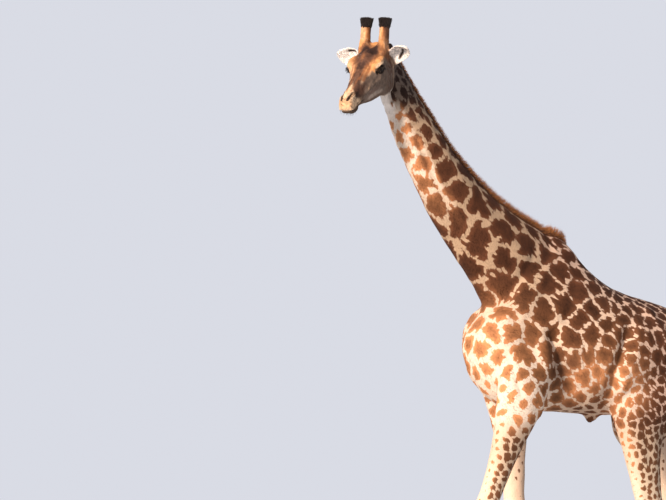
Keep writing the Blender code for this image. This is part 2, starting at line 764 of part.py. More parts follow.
def make_claw(name, foot, side, outer):
    """One of the two claws of a foot: a flat sole, a sloping front wall and a slanting top."""
    s = SIDE_SIGN[side] * (1 if outer else -1)
    x0, y0 = foot
    rings = []
    for share, size in CLAW_ROWS:
        points = []
        for a in np.linspace(0, 2 * math.pi, 10, endpoint=False):
            c, k = math.cos(a), math.sin(a)
            x = HOOF_WIDTH * size * 0.5 * (1 + math.copysign(abs(c) ** 0.75, c)) + share * HOOF_LEAN
            toe = 0.5 * (1 - TOE_CURL * (1 - c) / 2)
            y = -HOOF_LENGTH * size * k * (toe if k > 0 else HEEL)
            top = CORONET_HEIGHT - CORONET_RISE * y / (HOOF_LENGTH / 2)
            points.append((x0 + s * (CLEFT / 2 + x), y0 + y + share * CORONET_BACK, share * (top - GAP)))
        rings.append(points)
    return loft(name, rings)


def coronet_blade(name, foot):
    """A solid block under the plane of a foot's two claw tops."""
    x0, y0 = foot
    slope = math.atan2(CORONET_RISE, HOOF_LENGTH / 2)
    bm = bmesh.new()
    bmesh.ops.create_cube(bm, size=0.6)
    turn = Matrix.Rotation(-slope, 4, "X")
    up = turn.to_3x3() @ Vector((0, 0, 1))
    turn.translation = Vector((x0, y0 + CORONET_BACK, CORONET_HEIGHT)) - up * 0.3
    bmesh.ops.transform(bm, matrix=turn, verts=bm.verts)
    return new_object(name, bm)


MANE_ENDS = (
    # y, z of its foot, share of the height: at the poll and on the withers
    ((-1.375, 4.17, 0.10), (-1.355, 4.135, 0.35)),
    ((-0.055, 2.950, 1.12), (0.000, 2.930, 0.98), (0.045, 2.895, 0.12)),
)
MANE_SHARES = (0.50, 0.52, 0.58, 0.66, 0.76, 0.88, 0.96, 1.00, 1.06)  # from the poll down


def make_mane():
    """An upright crest along the nape, from the poll to the withers."""
    nape = [row[:2] for row in NECK_ROWS[:0:-1]]
    rows = [*MANE_ENDS[0], *[(y, z, share) for (y, z), share in zip(nape, MANE_SHARES)], *MANE_ENDS[1]]
    table = smooth_rows(rows, 1)
    rings = []
    for i, (y, z, share) in enumerate(table):
        before, after = table[max(i - 1, 0)], table[min(i + 1, len(table) - 1)]
        along = Vector((0, after[0] - before[0], after[1] - before[1])).normalized()
        out = Vector((0, -along.z, along.y))
        if out.z < 0 or (abs(out.z) < 0.3 and out.y < 0):
            out.negate()
        foot = Vector((0, y, z))
        high = MANE_HEIGHT * share
        half = MANE_THICKNESS / 2
        profile = [(-1.0, -MANE_DEPTH), (-1.0, 0.3 * high), (-0.70, 0.80 * high), (0.0, high)]
        profile += [(-x, h) for x, h in profile[2::-1]]
        rings.append([foot + Vector((half * x, 0, 0)) + out * h for x, h in profile])
    return loft("mane", rings)


TAIL_TUFT_ROWS = (
    # share of the length, half width
    (0.00, 0.024),
    (0.10, 0.036),
    (0.30, 0.052),
    (0.55, 0.060),
    (0.78, 0.048),
    (0.93, 0.026),
    (1.00, 0.008),
)


def make_tail_tuft():
    """The long hair of the tail's end, as one spindle."""
    y, z, _ = TAIL_LINE[-1]
    rows = []
    for share, half_width in TAIL_TUFT_ROWS:
        x = TAIL_SWING * (1 + 0.3 * share)
        sway = TAIL_TUFT_DRIFT * share**2
        height = z + TAIL_TUFT_OVERLAP - share * TAIL_TUFT_LENGTH
        rows.append((x, y + sway, height, half_width, half_width * 0.9))
    return round_loft("tail_tuft", rows, steps=1)


# ---- Materials ------------------------------------------------------------------------------

COAT = (0.50, 0.27, 0.13)
COLOURS = {
    # name's start: colour, roughness
    "eye": ((0.020, 0.012, 0.008), 0.12),
    "hoof": ((0.075, 0.058, 0.046), 0.55),
    "mane": ((0.16, 0.065, 0.030), 0.85),
    "tail_tuft": ((0.018, 0.013, 0.011), 0.80),
    "ossicone_tuft": ((0.016, 0.012, 0.010), 0.85),
    "ossicone": ((0.42, 0.20, 0.080), 0.85),
    "ear": ((0.66, 0.56, 0.46), 0.85),
}


def give_material(obj):
    colour, roughness = COAT, 0.85
    for start, found in COLOURS.items():
        if obj.name.startswith(start):
            colour, roughness = found
            break
    material = bpy.data.materials.new(obj.name)
    material.use_nodes = True
    shader = material.node_tree.nodes["Principled BSDF"]
    shader.inputs["Base Color"].default_value = (*colour, 1)
    shader.inputs["Roughness"].default_value = roughness
    obj.data.materials.clear()
    obj.data.materials.append(material)
    obj.data.polygons.foreach_set("material_index", [0] * len(obj.data.polygons))


def shade(obj):
    """Smooth, but for the hooves' and the cuts' edges."""
    obj.data.shade_smooth()
    obj.data.set_sharp_from_angle(angle=math.radians(SHARP_EDGE))


# ---- The whole ------------------------------------------------------------------------------


def centre_on_floor(objects):
    """Moves all of them so that the origin is the middle of their box, at floor level."""
    points = [v.co for obj in objects for v in obj.data.vertices]
    low = Vector([min(p[i] for p in points) for i in range(3)])
    high = Vector([max(p[i] for p in points) for i in range(3)])
    shift = Vector((-(low.x + high.x) / 2, -(low.y + high.y) / 2, -low.z))
    for obj in objects:
        obj.data.transform(Matrix.Translation(shift))
        obj.data.update()


PARTS_AT = {  # where the middle of each part of the flesh lies, roughly
    "trunk": (0, 0.20, 2.30),
    "neck": (0, -0.70, 3.30),
    "tail": (-0.02, 1.22, 1.80),
    "foreleg_left": (STANCE, -0.75, 0.90),
    "foreleg_right": (-STANCE, -0.26, 0.90),
    "hindleg_left": (STANCE, 0.55, 0.90),
    "hindleg_right": (-STANCE, 1.05, 0.90),
}


def foot_of(side, joints):
    return SIDE_SIGN[side] * STANCE, joints[side][3][0] - SOLE_AHEAD


def leg_blade():
    """A level blade just under the belly, which stops short of the tail."""
    ahead, behind = LEG_CUT_ENDS
    bm = bmesh.new()
    bmesh.ops.create_cube(bm, size=1)
    bmesh.ops.scale(bm, vec=(1.2, behind - ahead, CUT), verts=bm.verts)
    bmesh.ops.translate(bm, vec=(0, (behind + ahead) / 2, LEG_CUT_HEIGHT), verts=bm.verts)
    return new_object("leg_blade", bm)


def make_flesh():
    """Trunk, neck, tail and legs: one fused surface, thinned and parted."""
    forms = [make_trunk(), make_neck(), make_tail(), muscle("sheath", *SHEATH, 0.040, 0.040, overrun=0.02)]
    for side in SIDE_SIGN:
        forms += [*make_shoulder(side), make_foreleg(side), *make_hindleg(side)]
    body = fused("body", forms, BODY_VOXEL, ((10, -1, 0), (36, 1.35, 1.9)))
    body = thinned(body, BODY_TRIANGLES)
    blades = [
        slab("throat_blade", *THROAT_CUT, THROAT_REACH, CUT),
        slab("neck_blade", *NECK_CUT, NECK_REACH, CUT),
        slab("tail_blade", *TAIL_CUT, TAIL_REACH, CUT),
        leg_blade(),
    ]
    for joints in (FORE_JOINTS, HIND_JOINTS):
        for side in SIDE_SIGN:
            blades.append(coronet_blade("under_coronet", foot_of(side, joints)))
    for blade in blades:
        body = boolean(body, blade)
    pieces = [p for p in islands(body) if volume_of(p) > SMALLEST_BODY]
    flesh = {name: named(nearest(pieces, at), name) for name, at in PARTS_AT.items()}
    for left_over in pieces:
        bpy.data.objects.remove(left_over)
    return flesh


def make_head(eyes):
    """The head, its two ossicones and their tufts, from one fused surface."""
    forms = [*make_head_forms(), make_neck()]
    forms += [make_ossicone_form(side) for side in SIDE_SIGN]
    head = thinned(fused("head", forms, HEAD_VOXEL, ((9, -1, 0),)), HEAD_TRIANGLES)
    head = boolean(head, slab("throat_blade", *THROAT_CUT, THROAT_REACH, CUT))
    for side in SIDE_SIGN:
        frame = ossicone_frame(side)
        up = frame.to_3x3() @ Vector((0, 0, 1))
        for height in (OSSICONE_FOOT, OSSICONE_LENGTH - OSSICONE_TUFT):
            head = boolean(head, slab("horn_blade", frame @ Vector((0, 0, height)), up, HORN_REACH, CUT))
    for eye in eyes:
        head = boolean(head, grown(eye, GAP))
    pieces = [p for p in islands(head) if volume_of(p) > SMALLEST_BODY]
    found = {"head": named(nearest(pieces, head_point(0.25, 0)), "head")}
    for side in SIDE_SIGN:
        frame = ossicone_frame(side)
        for name, share in (("ossicone", 0.35), ("ossicone_tuft", 0.9)):
            at = frame @ Vector((0, 0, share * OSSICONE_LENGTH))
            found[f"{name}_{side}"] = named(nearest(pieces, at), f"{name}_{side}")
    for left_over in pieces:
        bpy.data.objects.remove(left_over)
    return found


def main():
    for obj in list(bpy.data.objects):
        bpy.data.objects.remove(obj)

    flesh = make_flesh()
    eyes = []
    for side, s in SIDE_SIGN.items():
        u, v, w = EYE_AT
        eyes.append(make_ball(f"eye_{side}", head_point(u, v, w * s), EYE_RADIUS))
    heads = make_head(eyes)

    ears = []
    for side in SIDE_SIGN:
        ear = boolean(make_ear(side), grown(heads["head"], GAP))
        ears.append(largest(ear))
    mane = make_mane()
    for other in (flesh["neck"], flesh["trunk"], heads["head"]):
        mane = boolean(mane, grown(other, GAP))
    mane = largest(mane)

    tail_tuft = make_tail_tuft()
    flesh["tail"] = largest(boolean(flesh["tail"], grown(tail_tuft, GAP)))

    claws = []
    for where, joints in (("front", FORE_JOINTS), ("hind", HIND_JOINTS)):
        for side in SIDE_SIGN:
            for which in ("outer", "inner"):
                name = f"hoof_{where}_{side}_{which}"
                claws.append(make_claw(name, foot_of(side, joints), side, which == "outer"))

    everything = [*flesh.values(), *heads.values(), *eyes, *ears, mane, tail_tuft, *claws]
    centre_on_floor(everything)
    for obj in everything:
        give_material(obj)
        shade(obj)
    return everything


if __name__ == "__main__":
    main()
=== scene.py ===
"""The looks of a life-size museum giraffe, an adult male walking: hide, hair, eyes and hooves.

Laid out as a Blender add-on and run as a script. Metres, +Z up; the animal faces -Y and its left
side is +X. Landmarks are given in the animal's own frame, where y = 0 is under the top of the
withers and z = 0 is the floor, or in the head's own frame: u runs to the muzzle, v up out of the
forehead and w to the animal's left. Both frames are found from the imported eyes.
"""

import math

import bmesh
import bpy
import numpy as np
from mathutils import Matrix, Vector, noise
from mathutils.bvhtree import BVHTree
from mathutils.kdtree import KDTree


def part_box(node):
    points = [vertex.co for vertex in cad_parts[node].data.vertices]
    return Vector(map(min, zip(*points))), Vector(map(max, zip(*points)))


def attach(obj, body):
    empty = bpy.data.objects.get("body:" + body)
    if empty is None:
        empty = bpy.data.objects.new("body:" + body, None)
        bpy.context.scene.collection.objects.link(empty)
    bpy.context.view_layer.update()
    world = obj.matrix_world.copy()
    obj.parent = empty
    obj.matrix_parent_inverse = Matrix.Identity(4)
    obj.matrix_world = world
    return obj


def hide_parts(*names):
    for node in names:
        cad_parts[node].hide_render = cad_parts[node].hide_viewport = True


bl_info = {
    "name": "Museum giraffe",
    "version": (1, 0, 0),
    "blender": (4, 5, 0),
    "location": "3D View > Sidebar > Giraffe",
    "description": "Builds the hide, hair, eyes and hooves of a life-size walking giraffe",
    "category": "Add Mesh",
}

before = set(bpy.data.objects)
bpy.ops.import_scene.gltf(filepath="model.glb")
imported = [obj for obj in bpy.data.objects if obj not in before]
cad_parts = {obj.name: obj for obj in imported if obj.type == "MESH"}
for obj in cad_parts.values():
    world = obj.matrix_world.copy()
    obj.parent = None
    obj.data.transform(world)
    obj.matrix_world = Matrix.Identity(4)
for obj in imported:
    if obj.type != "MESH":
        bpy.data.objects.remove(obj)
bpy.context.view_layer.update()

# ---- Where the animal is --------------------------------------------------------------------

HEAD_ORIGIN = (0.018, -1.407, 4.066)
HEAD_PITCH = math.radians(35)  # nose below the horizontal
HEAD_TURN = math.radians(29)  # nose towards the animal's left
HEAD_ROLL = math.radians(5)  # its left side is the lower
EYE_AT = (0.295, 0.074, 0.097)  # u, v, w of the left eyeball's centre
SIDES = {"left": 1, "right": -1}

LEG_JOINTS = {  # elbow and knee or stifle and hock, fetlock, coronet in the side view (y, z)
    "foreleg_left": ((-0.46, 1.81), (-0.77, 1.04), (-0.985, 0.250), (-1.045, 0.080)),
    "foreleg_right": ((-0.270, 1.84), (-0.240, 1.02), (-0.20, 0.235), (-0.275, 0.075)),
    "hindleg_left": ((0.415, 1.76), (0.605, 1.06), (0.545, 0.255), (0.475, 0.078)),
    "hindleg_right": ((0.76, 1.64), (1.17, 1.06), (1.225, 0.240), (1.150, 0.075)),
}
TAIL_LINE = ((1.2, 0), (1.2, 3))  # the line that the tail is unrolled round
NECK_LINE = ((-0.25, 2.50), (-1.38, 4.00))  # the neck's middle in the side view, root to poll
HEAD_CUT = ((0, -1.385, 3.695), (0, -0.498, 0.867))  # where the fine skin of the head begins


def head_axes():
    """The head's own axes w, u, v as the rows of an array."""
    level = Vector((math.sin(HEAD_TURN), -math.cos(HEAD_TURN), 0))
    ahead = level * math.cos(HEAD_PITCH) - Vector((0, 0, math.sin(HEAD_PITCH)))
    up = level * math.sin(HEAD_PITCH) + Vector((0, 0, math.cos(HEAD_PITCH)))
    left = Vector((math.cos(HEAD_TURN), math.sin(HEAD_TURN), 0))
    roll = Matrix.Rotation(HEAD_ROLL, 3, ahead)
    if (roll @ left).z > 0:
        roll.transpose()
    return np.array([roll @ left, ahead, roll @ up])


def box_middle(node):
    low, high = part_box(node)
    return np.array((low + high) / 2)


AXES = head_axes()
BETWEEN_EYES = (box_middle("eye_left") + box_middle("eye_right")) / 2
HEAD_AT = BETWEEN_EYES - np.array((0, EYE_AT[0], EYE_AT[1])) @ AXES
BODY_AT = HEAD_AT - np.array(HEAD_ORIGIN)


def to_head(points):
    """u, v, w of points."""
    local = (np.asarray(points) - HEAD_AT) @ AXES.T
    return local[..., [1, 2, 0]]


def from_head(points):
    """Points from their u, v, w."""
    local = np.asarray(points, float)
    return local[..., [2, 0, 1]] @ AXES + HEAD_AT


def turned_by_head(vectors):
    """Vectors from their u, v, w."""
    return np.asarray(vectors, float)[..., [2, 0, 1]] @ AXES


# ---- Numbers over a mesh ---------------------------------------------------------------------


def smoothstep(low, high, value):
    t = np.clip((np.asarray(value, float) - low) / (high - low), 0, 1)
    return t * t * (3 - 2 * t)


def unit(vectors):
    vectors = np.asarray(vectors, float)
    return vectors / np.maximum(np.linalg.norm(vectors, axis=-1, keepdims=True), 1e-9)


def mix(one, two, share):
    share = np.asarray(share, float)
    if np.ndim(one) > share.ndim or np.ndim(two) > share.ndim:
        share = share[..., None]
    return np.asarray(one) * (1 - share) + np.asarray(two) * share


def vectors_of(items, key):
    found = np.empty(len(items) * 3, np.float32)
    items.foreach_get(key, found)
    return found.reshape(-1, 3).astype(float)


def points_of(mesh):
    return vectors_of(mesh.vertices, "co")


def normals_of(mesh):
    return vectors_of(mesh.vertex_normals, "vector")


def set_points(mesh, points):
    mesh.vertices.foreach_set("co", points.astype(np.float32).ravel())
    mesh.update()


def distance_to_line(points, line):
    """Distance of points to a chain of points, in any number of dimensions."""
    best = np.full(len(points), 1e9)
    for start, end in zip(line, line[1:]):
        start, end = np.array(start, float), np.array(end, float)
        along = end - start
        t = np.clip((points - start) @ along / max(along @ along, 1e-12), 0, 1)
        best = np.minimum(best, np.linalg.norm(points - start - t[:, None] * along, axis=1))
    return best


def swell(distance, width):
    return np.exp(-((distance / width) ** 2))


def noise_at(points, size, seed=0.0):
    """Smooth noise from about -1 to 1 at each point, with lumps of about the given size."""
    shifted = np.asarray(points) / size + seed * 7.31
    return np.array([noise.noise(Vector(p)) for p in shifted])


NECK_UP = np.array((0, *unit(np.subtract(NECK_LINE[1], NECK_LINE[0]))))  # the way the neck rises


def tree_of(points):
    tree = KDTree(len(points))
    for index, point in enumerate(points):
        tree.insert(point, index)
    tree.balance()
    return tree


class Web:
    """A mesh's points as neighbours of each other."""

    def __init__(self, mesh):
        pairs = np.empty(len(mesh.edges) * 2, np.int32)
        mesh.edges.foreach_get("vertices", pairs)
        pairs = pairs.reshape(-1, 2)
        self.count = len(mesh.vertices)
        self.here = np.concatenate([pairs[:, 0], pairs[:, 1]])
        self.there = np.concatenate([pairs[:, 1], pairs[:, 0]])
        self.degree = np.maximum(np.bincount(self.here, minlength=self.count), 1)

    def average(self, values):
        columns = values.reshape(self.count, -1)
        summed = [
            np.bincount(self.here, weights=column[self.there], minlength=self.count)
            for column in columns.T
        ]
        return (np.stack(summed, 1) / self.degree[:, None]).reshape(values.shape)

    def smoothed(self, values, rounds, weight=None, keep_size=True):
        """Taubin's smoothing: each second step undoes the shrinking of the first."""
        weight = np.ones(self.count) if weight is None else weight
        weight = weight if values.ndim == 1 else weight[:, None]
        steps = (0.55, -0.57) if keep_size else (0.5, 0.5)
        for _ in range(rounds):
            for step in steps:
                values = values + step * weight * (self.average(values) - values)
        return values


def new_object(name, mesh):
    mesh.name = name
    obj = bpy.data.objects.new(name, mesh)
    bpy.context.scene.collection.objects.link(obj)
    return obj


def evaluated(obj):
    """The object's mesh with its modifiers applied; the object itself goes."""
    bpy.context.view_layer.update()
    graph = bpy.context.evaluated_depsgraph_get()
    mesh = bpy.data.meshes.new_from_object(obj.evaluated_get(graph))
    bpy.data.objects.remove(obj)
    return mesh


def merged_copy(node):
    """A bmesh of a CAD node with its loose triangles joined."""
    bm = bmesh.new()
    bm.from_mesh(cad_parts[node].data)
    bmesh.ops.remove_doubles(bm, verts=bm.verts, dist=1e-5)
    bm.normal_update()
    return bm


def crest_tree():
    """The CAD mane's faces, to be searched."""
    crest = merged_copy("mane")
    tree = BVHTree.FromBMesh(crest)
    crest.free()
    return tree


def mesh_from(bm, name):
    """A bmesh as a mesh; the bmesh itself goes."""
    mesh = bpy.data.meshes.new(name)
    bm.to_mesh(mesh)
    bm.free()
    return mesh


def pour(bm, into):
    """Adds a bmesh to another one; the first goes."""
    part = mesh_from(bm, "part")
    into.from_mesh(part)
    bpy.data.meshes.remove(part)


def store(mesh, name, values, kind=None):
    """A point attribute of a mesh: numbers, vectors or colours."""
    if values.ndim == 1:
        made = mesh.attributes.new(name, "FLOAT", "POINT")
        made.data.foreach_set("value", values.astype(np.float32))
    elif kind == "VECTOR":
        made = mesh.attributes.new(name, "FLOAT_VECTOR", "POINT")
        made.data.foreach_set("vector", values.astype(np.float32).ravel())
    else:
        made = mesh.attributes.new(name, "FLOAT_COLOR", "POINT")
        filled = np.concatenate([np.clip(values, 0, 1), np.ones((len(values), 1))], 1)
        made.data.foreach_set("color", filled.astype(np.float32).ravel())


def finished(obj, body, slot, *nodes):
    """Hands a piece over to the frame."""
    obj.data.shade_smooth()
    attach(obj, body)
    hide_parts(*nodes)


# ---- Shader maths ----------------------------------------------------------------------------


class Value:
    """A node's socket that takes part in Python expressions."""

    def __init__(self, tree, socket):
        self.tree, self.socket = tree, socket

    def other(self, name):
        """Another output of the same node."""
        return Value(self.tree, self.socket.node.outputs[name])

    def joined(self, operation, one, two):
        return self.tree.node("ShaderNodeMath", {"operation": operation}, {0: one, 1: two})

    def __add__(self, other):
        return self.joined("ADD", self, other)

    def __sub__(self, other):
        return self.joined("SUBTRACT", self, other)

    def __rsub__(self, other):
        return self.joined("SUBTRACT", other, self)

    def __mul__(self, other):
        return self.joined("MULTIPLY", self, other)

    def __pow__(self, other):
        return self.joined("POWER", self, other)

    __radd__ = __add__
    __rmul__ = __mul__

    def step(self, low, high):
        """0 below low, 1 above high and smooth between them."""
        inputs = {"Value": self, "From Min": low, "From Max": high}
        return self.tree.node("ShaderNodeMapRange", {"interpolation_type": "SMOOTHSTEP"}, inputs)


class Tree:
    """A node tree under construction."""

    def __init__(self, tree):
        self.tree = tree

    def node(self, kind, settings=None, inputs=None, output=0):
        """An output of a new node, whose settings are set before its inputs."""
        made = self.tree.nodes.new(kind)
        for name, value in (settings or {}).items():
            setattr(made, name, value)
        for socket, value in (inputs or {}).items():
            self.put(made.inputs[socket], value)
        return Value(self, made.outputs[output])

    def put(self, socket, value):
        if isinstance(value, Value):
            self.tree.links.new(value.socket, socket)
        else:
            socket.default_value = value


class Finish(Tree):
    """A material under construction."""

    def __init__(self, name, **shader):
        self.material = bpy.data.materials.new(name)
        self.material.use_nodes = True
        super().__init__(self.material.node_tree)
        self.shader = self.tree.nodes["Principled BSDF"]
        for socket, value in shader.items():
            self.shader.inputs[socket.replace("_", " ")].default_value = value

    def attribute(self, name, output="Fac"):
        return self.node("ShaderNodeAttribute", {"attribute_name": name}, output=output)

    def place(self, scale):
        """Object coordinates, stretched by a scale along each axis."""
        own = self.node("ShaderNodeTexCoord", output="Object")
        return self.node("ShaderNodeVectorMath", {"operation": "MULTIPLY"}, {0: own, 1: scale})

    def grain(self, scale, detail=3.0):
        """Noise from 0 to 1, with this many lumps to the metre along each axis."""
        inputs = {"Vector": self.place(scale), "Scale": 1.0, "Detail": detail, "Roughness": 0.55}
        return self.node("ShaderNodeTexNoise", None, inputs)

    def blend(self, one, two, share, kind="MIX"):
        """A mix of two colours."""
        settings = {"data_type": "RGBA", "blend_type": kind}
        return self.node("ShaderNodeMix", settings, {0: share, 6: one, 7: two}, 2)

    def tinted(self, colour, strength):
        """A colour made lighter or darker by a number."""
        grey = self.node("ShaderNodeCombineColor", None, {0: strength, 1: strength, 2: strength})
        return self.blend(colour, grey, 1.0, "MULTIPLY")

    def bumped(self, height, distance):
        bump = self.node("ShaderNodeBump", None, {"Height": height, "Distance": distance, "Strength": 1.0})
        self.put(self.shader.inputs["Normal"], bump)

    def finish(self, colour, roughness=None):
        self.put(self.shader.inputs["Base Color"], colour)
        if roughness is not None:
            self.put(self.shader.inputs["Roughness"], roughness)
        return self.material


def rgb(colour):
    return (*colour, 1.0)


# ---- The skin's shape ------------------------------------------------------------------------

MOST_TRIANGLES = 200_000  # in one piece

LIMBS = tuple(LEG_JOINTS)
EARS = ("ear_left", "ear_right")
EYES = ("eye_left", "eye_right")
HORN_STEMS = ("ossicone_left", "ossicone_right")
HORN_ENDS = ("ossicone_tuft_left", "ossicone_tuft_right")
HORNS = (*HORN_STEMS, *HORN_ENDS)
BODY_FLESH = ("trunk", "neck", "tail", *LIMBS)
HEAD_FLESH = ("head", *EARS, *HORN_STEMS)
WHOLE_HEAD = (*HEAD_FLESH, *HORN_ENDS)
PARTS = (*BODY_FLESH, *WHOLE_HEAD)
KERF_FILL = 0.0005  # growth that closes the thin cuts between the solids
EAR_FILL = 0.0036  # growth that keeps the thin ears whole
BRIDGE = 0.004  # half width of the band between the fine and the coarse skin
EYE_RADIUS = 0.031
EYE_SWELL = 1.04  # how much larger the balls are while the skin is laid over them
SKIN_END = 0.06  # the skin goes down to this height, inside the hooves


def melted(nodes, voxel):
    """The CAD solids fused into one surface, as a mesh."""
    joined = bmesh.new()
    for node in nodes:
        bm = merged_copy(node)
        middle = Vector(box_middle(node))
        for vert in bm.verts:
            if node in EYES:
                vert.co = middle + (vert.co - middle) * EYE_SWELL
            else:
                vert.co += vert.normal * (EAR_FILL if node in EARS else KERF_FILL)
        pour(bm, joined)
    obj = new_object("melted", mesh_from(joined, "melted"))
    remesh = obj.modifiers.new("melt", "REMESH")
    remesh.mode = "VOXEL"
    remesh.voxel_size = voxel
    return evaluated(obj)


def body_point(point):
    """A point of the animal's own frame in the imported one."""
    return Vector(np.array(point) + BODY_AT)


def cut_open(mesh, keep_above, gap):
    """The part of a mesh above or below the head's cut, as a bmesh."""
    middle, normal = body_point(HEAD_CUT[0]), Vector(HEAD_CUT[1]).normalized()
    bm = bmesh.new()
    bm.from_mesh(mesh)
    bmesh.ops.bisect_plane(
        bm,
        geom=[*bm.verts, *bm.edges, *bm.faces],
        plane_co=middle + normal * (gap if keep_above else -gap),
        plane_no=normal,
        clear_inner=keep_above,
        clear_outer=not keep_above,
    )
    return bm


def near_points(bm, points, reach):
    """Edges of the faces near any of some points."""
    points = np.array(points)
    edges = set()
    for face in bm.faces:
        middle = np.array(face.calc_center_median())
        if (np.linalg.norm(points - middle, axis=1) < reach).any():
            edges.update(face.edges)
    return list(edges)


def drop_crumbs(bm, smallest=200):
    """Removes bodies of only a few points, left inside where solids met."""
    seen = set()
    for start in list(bm.verts):
        if start in seen:
            continue
        group, queue = [], [start]
        seen.add(start)
        while queue:
            vert = queue.pop()
            group.append(vert)
            for edge in vert.link_edges:
                other = edge.other_vert(vert)
                if other not in seen:
                    seen.add(other)
                    queue.append(other)
        if len(group) < smallest:
            bmesh.ops.delete(bm, geom=group, context="VERTS")


def skin_mesh(sizes):
    """One closed surface: coarse on the body, fine on the head and finest round the eyes."""
    coarse = cut_open(melted((*BODY_FLESH, "head"), sizes.body_grid), False, BRIDGE)
    fine = cut_open(melted(("neck", *WHOLE_HEAD, *EYES), sizes.head_grid), True, BRIDGE)
    whole = bmesh.new()
    for bm in (coarse, fine):
        pour(bm, whole)
    drop_crumbs(whole)
    rim = [edge for edge in whole.edges if edge.is_boundary]
    bmesh.ops.bridge_loops(whole, edges=rim)
    eyes = [box_middle(eye) for eye in EYES]
    muzzle = [from_head((u, -0.01, w)) for u in (0.60, 0.655) for w in (-0.025, 0.025)]
    for middles, reach in ((eyes, 0.062), (eyes, 0.046), (muzzle, 0.062)):
        edges = near_points(whole, middles, reach)
        bmesh.ops.subdivide_edges(whole, edges=edges, cuts=1, use_grid_fill=True)
    bmesh.ops.recalc_face_normals(whole, faces=whole.faces)
    return mesh_from(whole, "hide")


class Places:
    """What the skin's points know about where they are on the animal."""

    def __init__(self, points, normals):
        self.points, self.normals = points, normals
        self.own = points - BODY_AT
        self.side_view = self.own[:, 1:]
        self.head = to_head(points)
        self.height = self.own[:, 2]
        verts, faces, owners = [], [], []
        for index, node in enumerate(PARTS):
            bm = merged_copy(node)
            start = len(verts)
            verts += [vert.co.copy() for vert in bm.verts]
            faces += [[start + vert.index for vert in face.verts] for face in bm.faces]
            owners += [index] * len(bm.faces)
            bm.free()
        tree = BVHTree.FromPolygons(verts, faces)
        nearest = [tree.find_nearest(Vector(point))[2] for point in points]
        self.part = np.array(owners)[nearest]

    def on(self, *names):
        found = np.zeros(len(self.points), bool)
        for index, name in enumerate(PARTS):
            if name in names:
                found |= self.part == index
        return found.astype(float)

    def soft(self, web, *names, rounds=6):
        return web.smoothed(self.on(*names), rounds, keep_size=False)


SIDE_FOLDS = (
    # name, line in the side view (y, z), depth (minus is a groove), half width, side or 0 for both
    ("shoulder_spine", ((-0.12, 2.82), (-0.34, 2.56), (-0.50, 2.32)), 0.009, 0.035, 0),
    ("blade_front", ((-0.30, 2.84), (-0.50, 2.56), (-0.64, 2.36)), -0.008, 0.030, 0),
    ("blade_rear", ((0.02, 2.74), (-0.06, 2.52), (-0.16, 2.36)), -0.008, 0.050, 0),
    ("triceps", ((-0.16, 2.46), (-0.30, 2.22), (-0.35, 2.00)), 0.014, 0.055, 0),
    ("chest_crease", ((-0.74, 2.55), (-0.70, 2.42), (-0.735, 2.20), (-0.70, 2.04)), -0.009, 0.018, 0),
    ("breast_crease", ((-0.62, 2.10), (-0.57, 1.96), (-0.54, 1.84)), -0.008, 0.016, 0),
    ("jugular", ((-1.22, 3.52), (-1.08, 3.24), (-0.88, 2.92), (-0.68, 2.64), (-0.60, 2.46)),
     -0.006, 0.022, 0),
    ("neck_muscle", ((-1.10, 3.62), (-0.90, 3.30), (-0.66, 3.00), (-0.40, 2.74)), 0.005, 0.040, 0),
    ("loin_edge", ((0.16, 2.62), (0.40, 2.50), (0.62, 2.43)), 0.006, 0.030, 0),
    ("hip_ridge", ((0.58, 2.42), (0.66, 2.28), (0.78, 2.14)), 0.008, 0.040, 0),
    ("thigh_groove", ((0.86, 2.30), (0.80, 2.06), (0.74, 1.84)), -0.007, 0.030, 0),
    ("elbow_left", ((-0.36, 1.80), (-0.35, 1.70)), 0.012, 0.030, 1),
    ("elbow_right", ((-0.16, 1.83), (-0.16, 1.74)), 0.012, 0.030, -1),
)
SIDE_STEPS = (
    # line in the side view (y, z) from top to bottom, hollow in front, its half width, bulge behind
    (((-0.20, 2.40), (-0.205, 2.26), (-0.134, 2.05), (-0.05, 1.91), (0.076, 1.80)), 0.060, 0.055, 0.012),
    (((0.47, 2.42), (0.40, 2.30), (0.333, 2.145), (0.257, 1.99), (0.235, 1.80)), 0.040, 0.045, 0.016),
)
RIBS = 6  # faint grooves between the ribs
RIB_DEPTH = -0.0016
RIB_SPACING = 0.075
LEG_FOLDS = (
    # name, two ends as (joint, y, z from it), depth (minus is a groove), half width, flanks only
    ("tendon_groove", ((1, 0.022, -0.10), (2, 0.024, 0.05)), -0.0045, 0.009, True),
    ("cannon_bone", ((1, -0.012, -0.10), (2, -0.010, 0.05)), 0.0020, 0.016, True),
    ("knee_top", ((1, -0.03, 0.03),) * 2, 0.004, 0.028, False),
    ("knee_foot", ((1, -0.035, -0.035),) * 2, 0.004, 0.028, False),
    ("fetlock_rear", ((2, 0.035, 0.0),) * 2, 0.004, 0.028, False),
    ("dewclaw", ((2, 0.058, -0.012),) * 2, 0.006, 0.014, False),
)
FOREARM_FOLD = (-0.004, 0.032)  # depth and half width of the long groove above the knee or hock
CORONET = (0.118, 0.010, 0.003)  # height, half width and rise of the ring above the hoof


def side_step(side_view, line, hollow, width, bulge):
    """A hollow in front of a line and a swelling behind it, as where the ribs leave the arm."""
    line = np.array(line)
    order = np.argsort(line[:, 1])
    behind = side_view[:, 0] - np.interp(side_view[:, 1], line[order, 1], line[order, 0])
    far = distance_to_line(side_view, line) * np.sign(behind)
    height, low, high = side_view[:, 1], line[-1, 1], line[0, 1]
    inside = smoothstep(low - 0.06, low + 0.10, height) * smoothstep(high, high - 0.20, height)
    rise = bulge * smoothstep(-0.012, 0.045, far) * swell(np.maximum(far, 0), 0.16)
    return inside * (rise - hollow * swell(far + width, width))


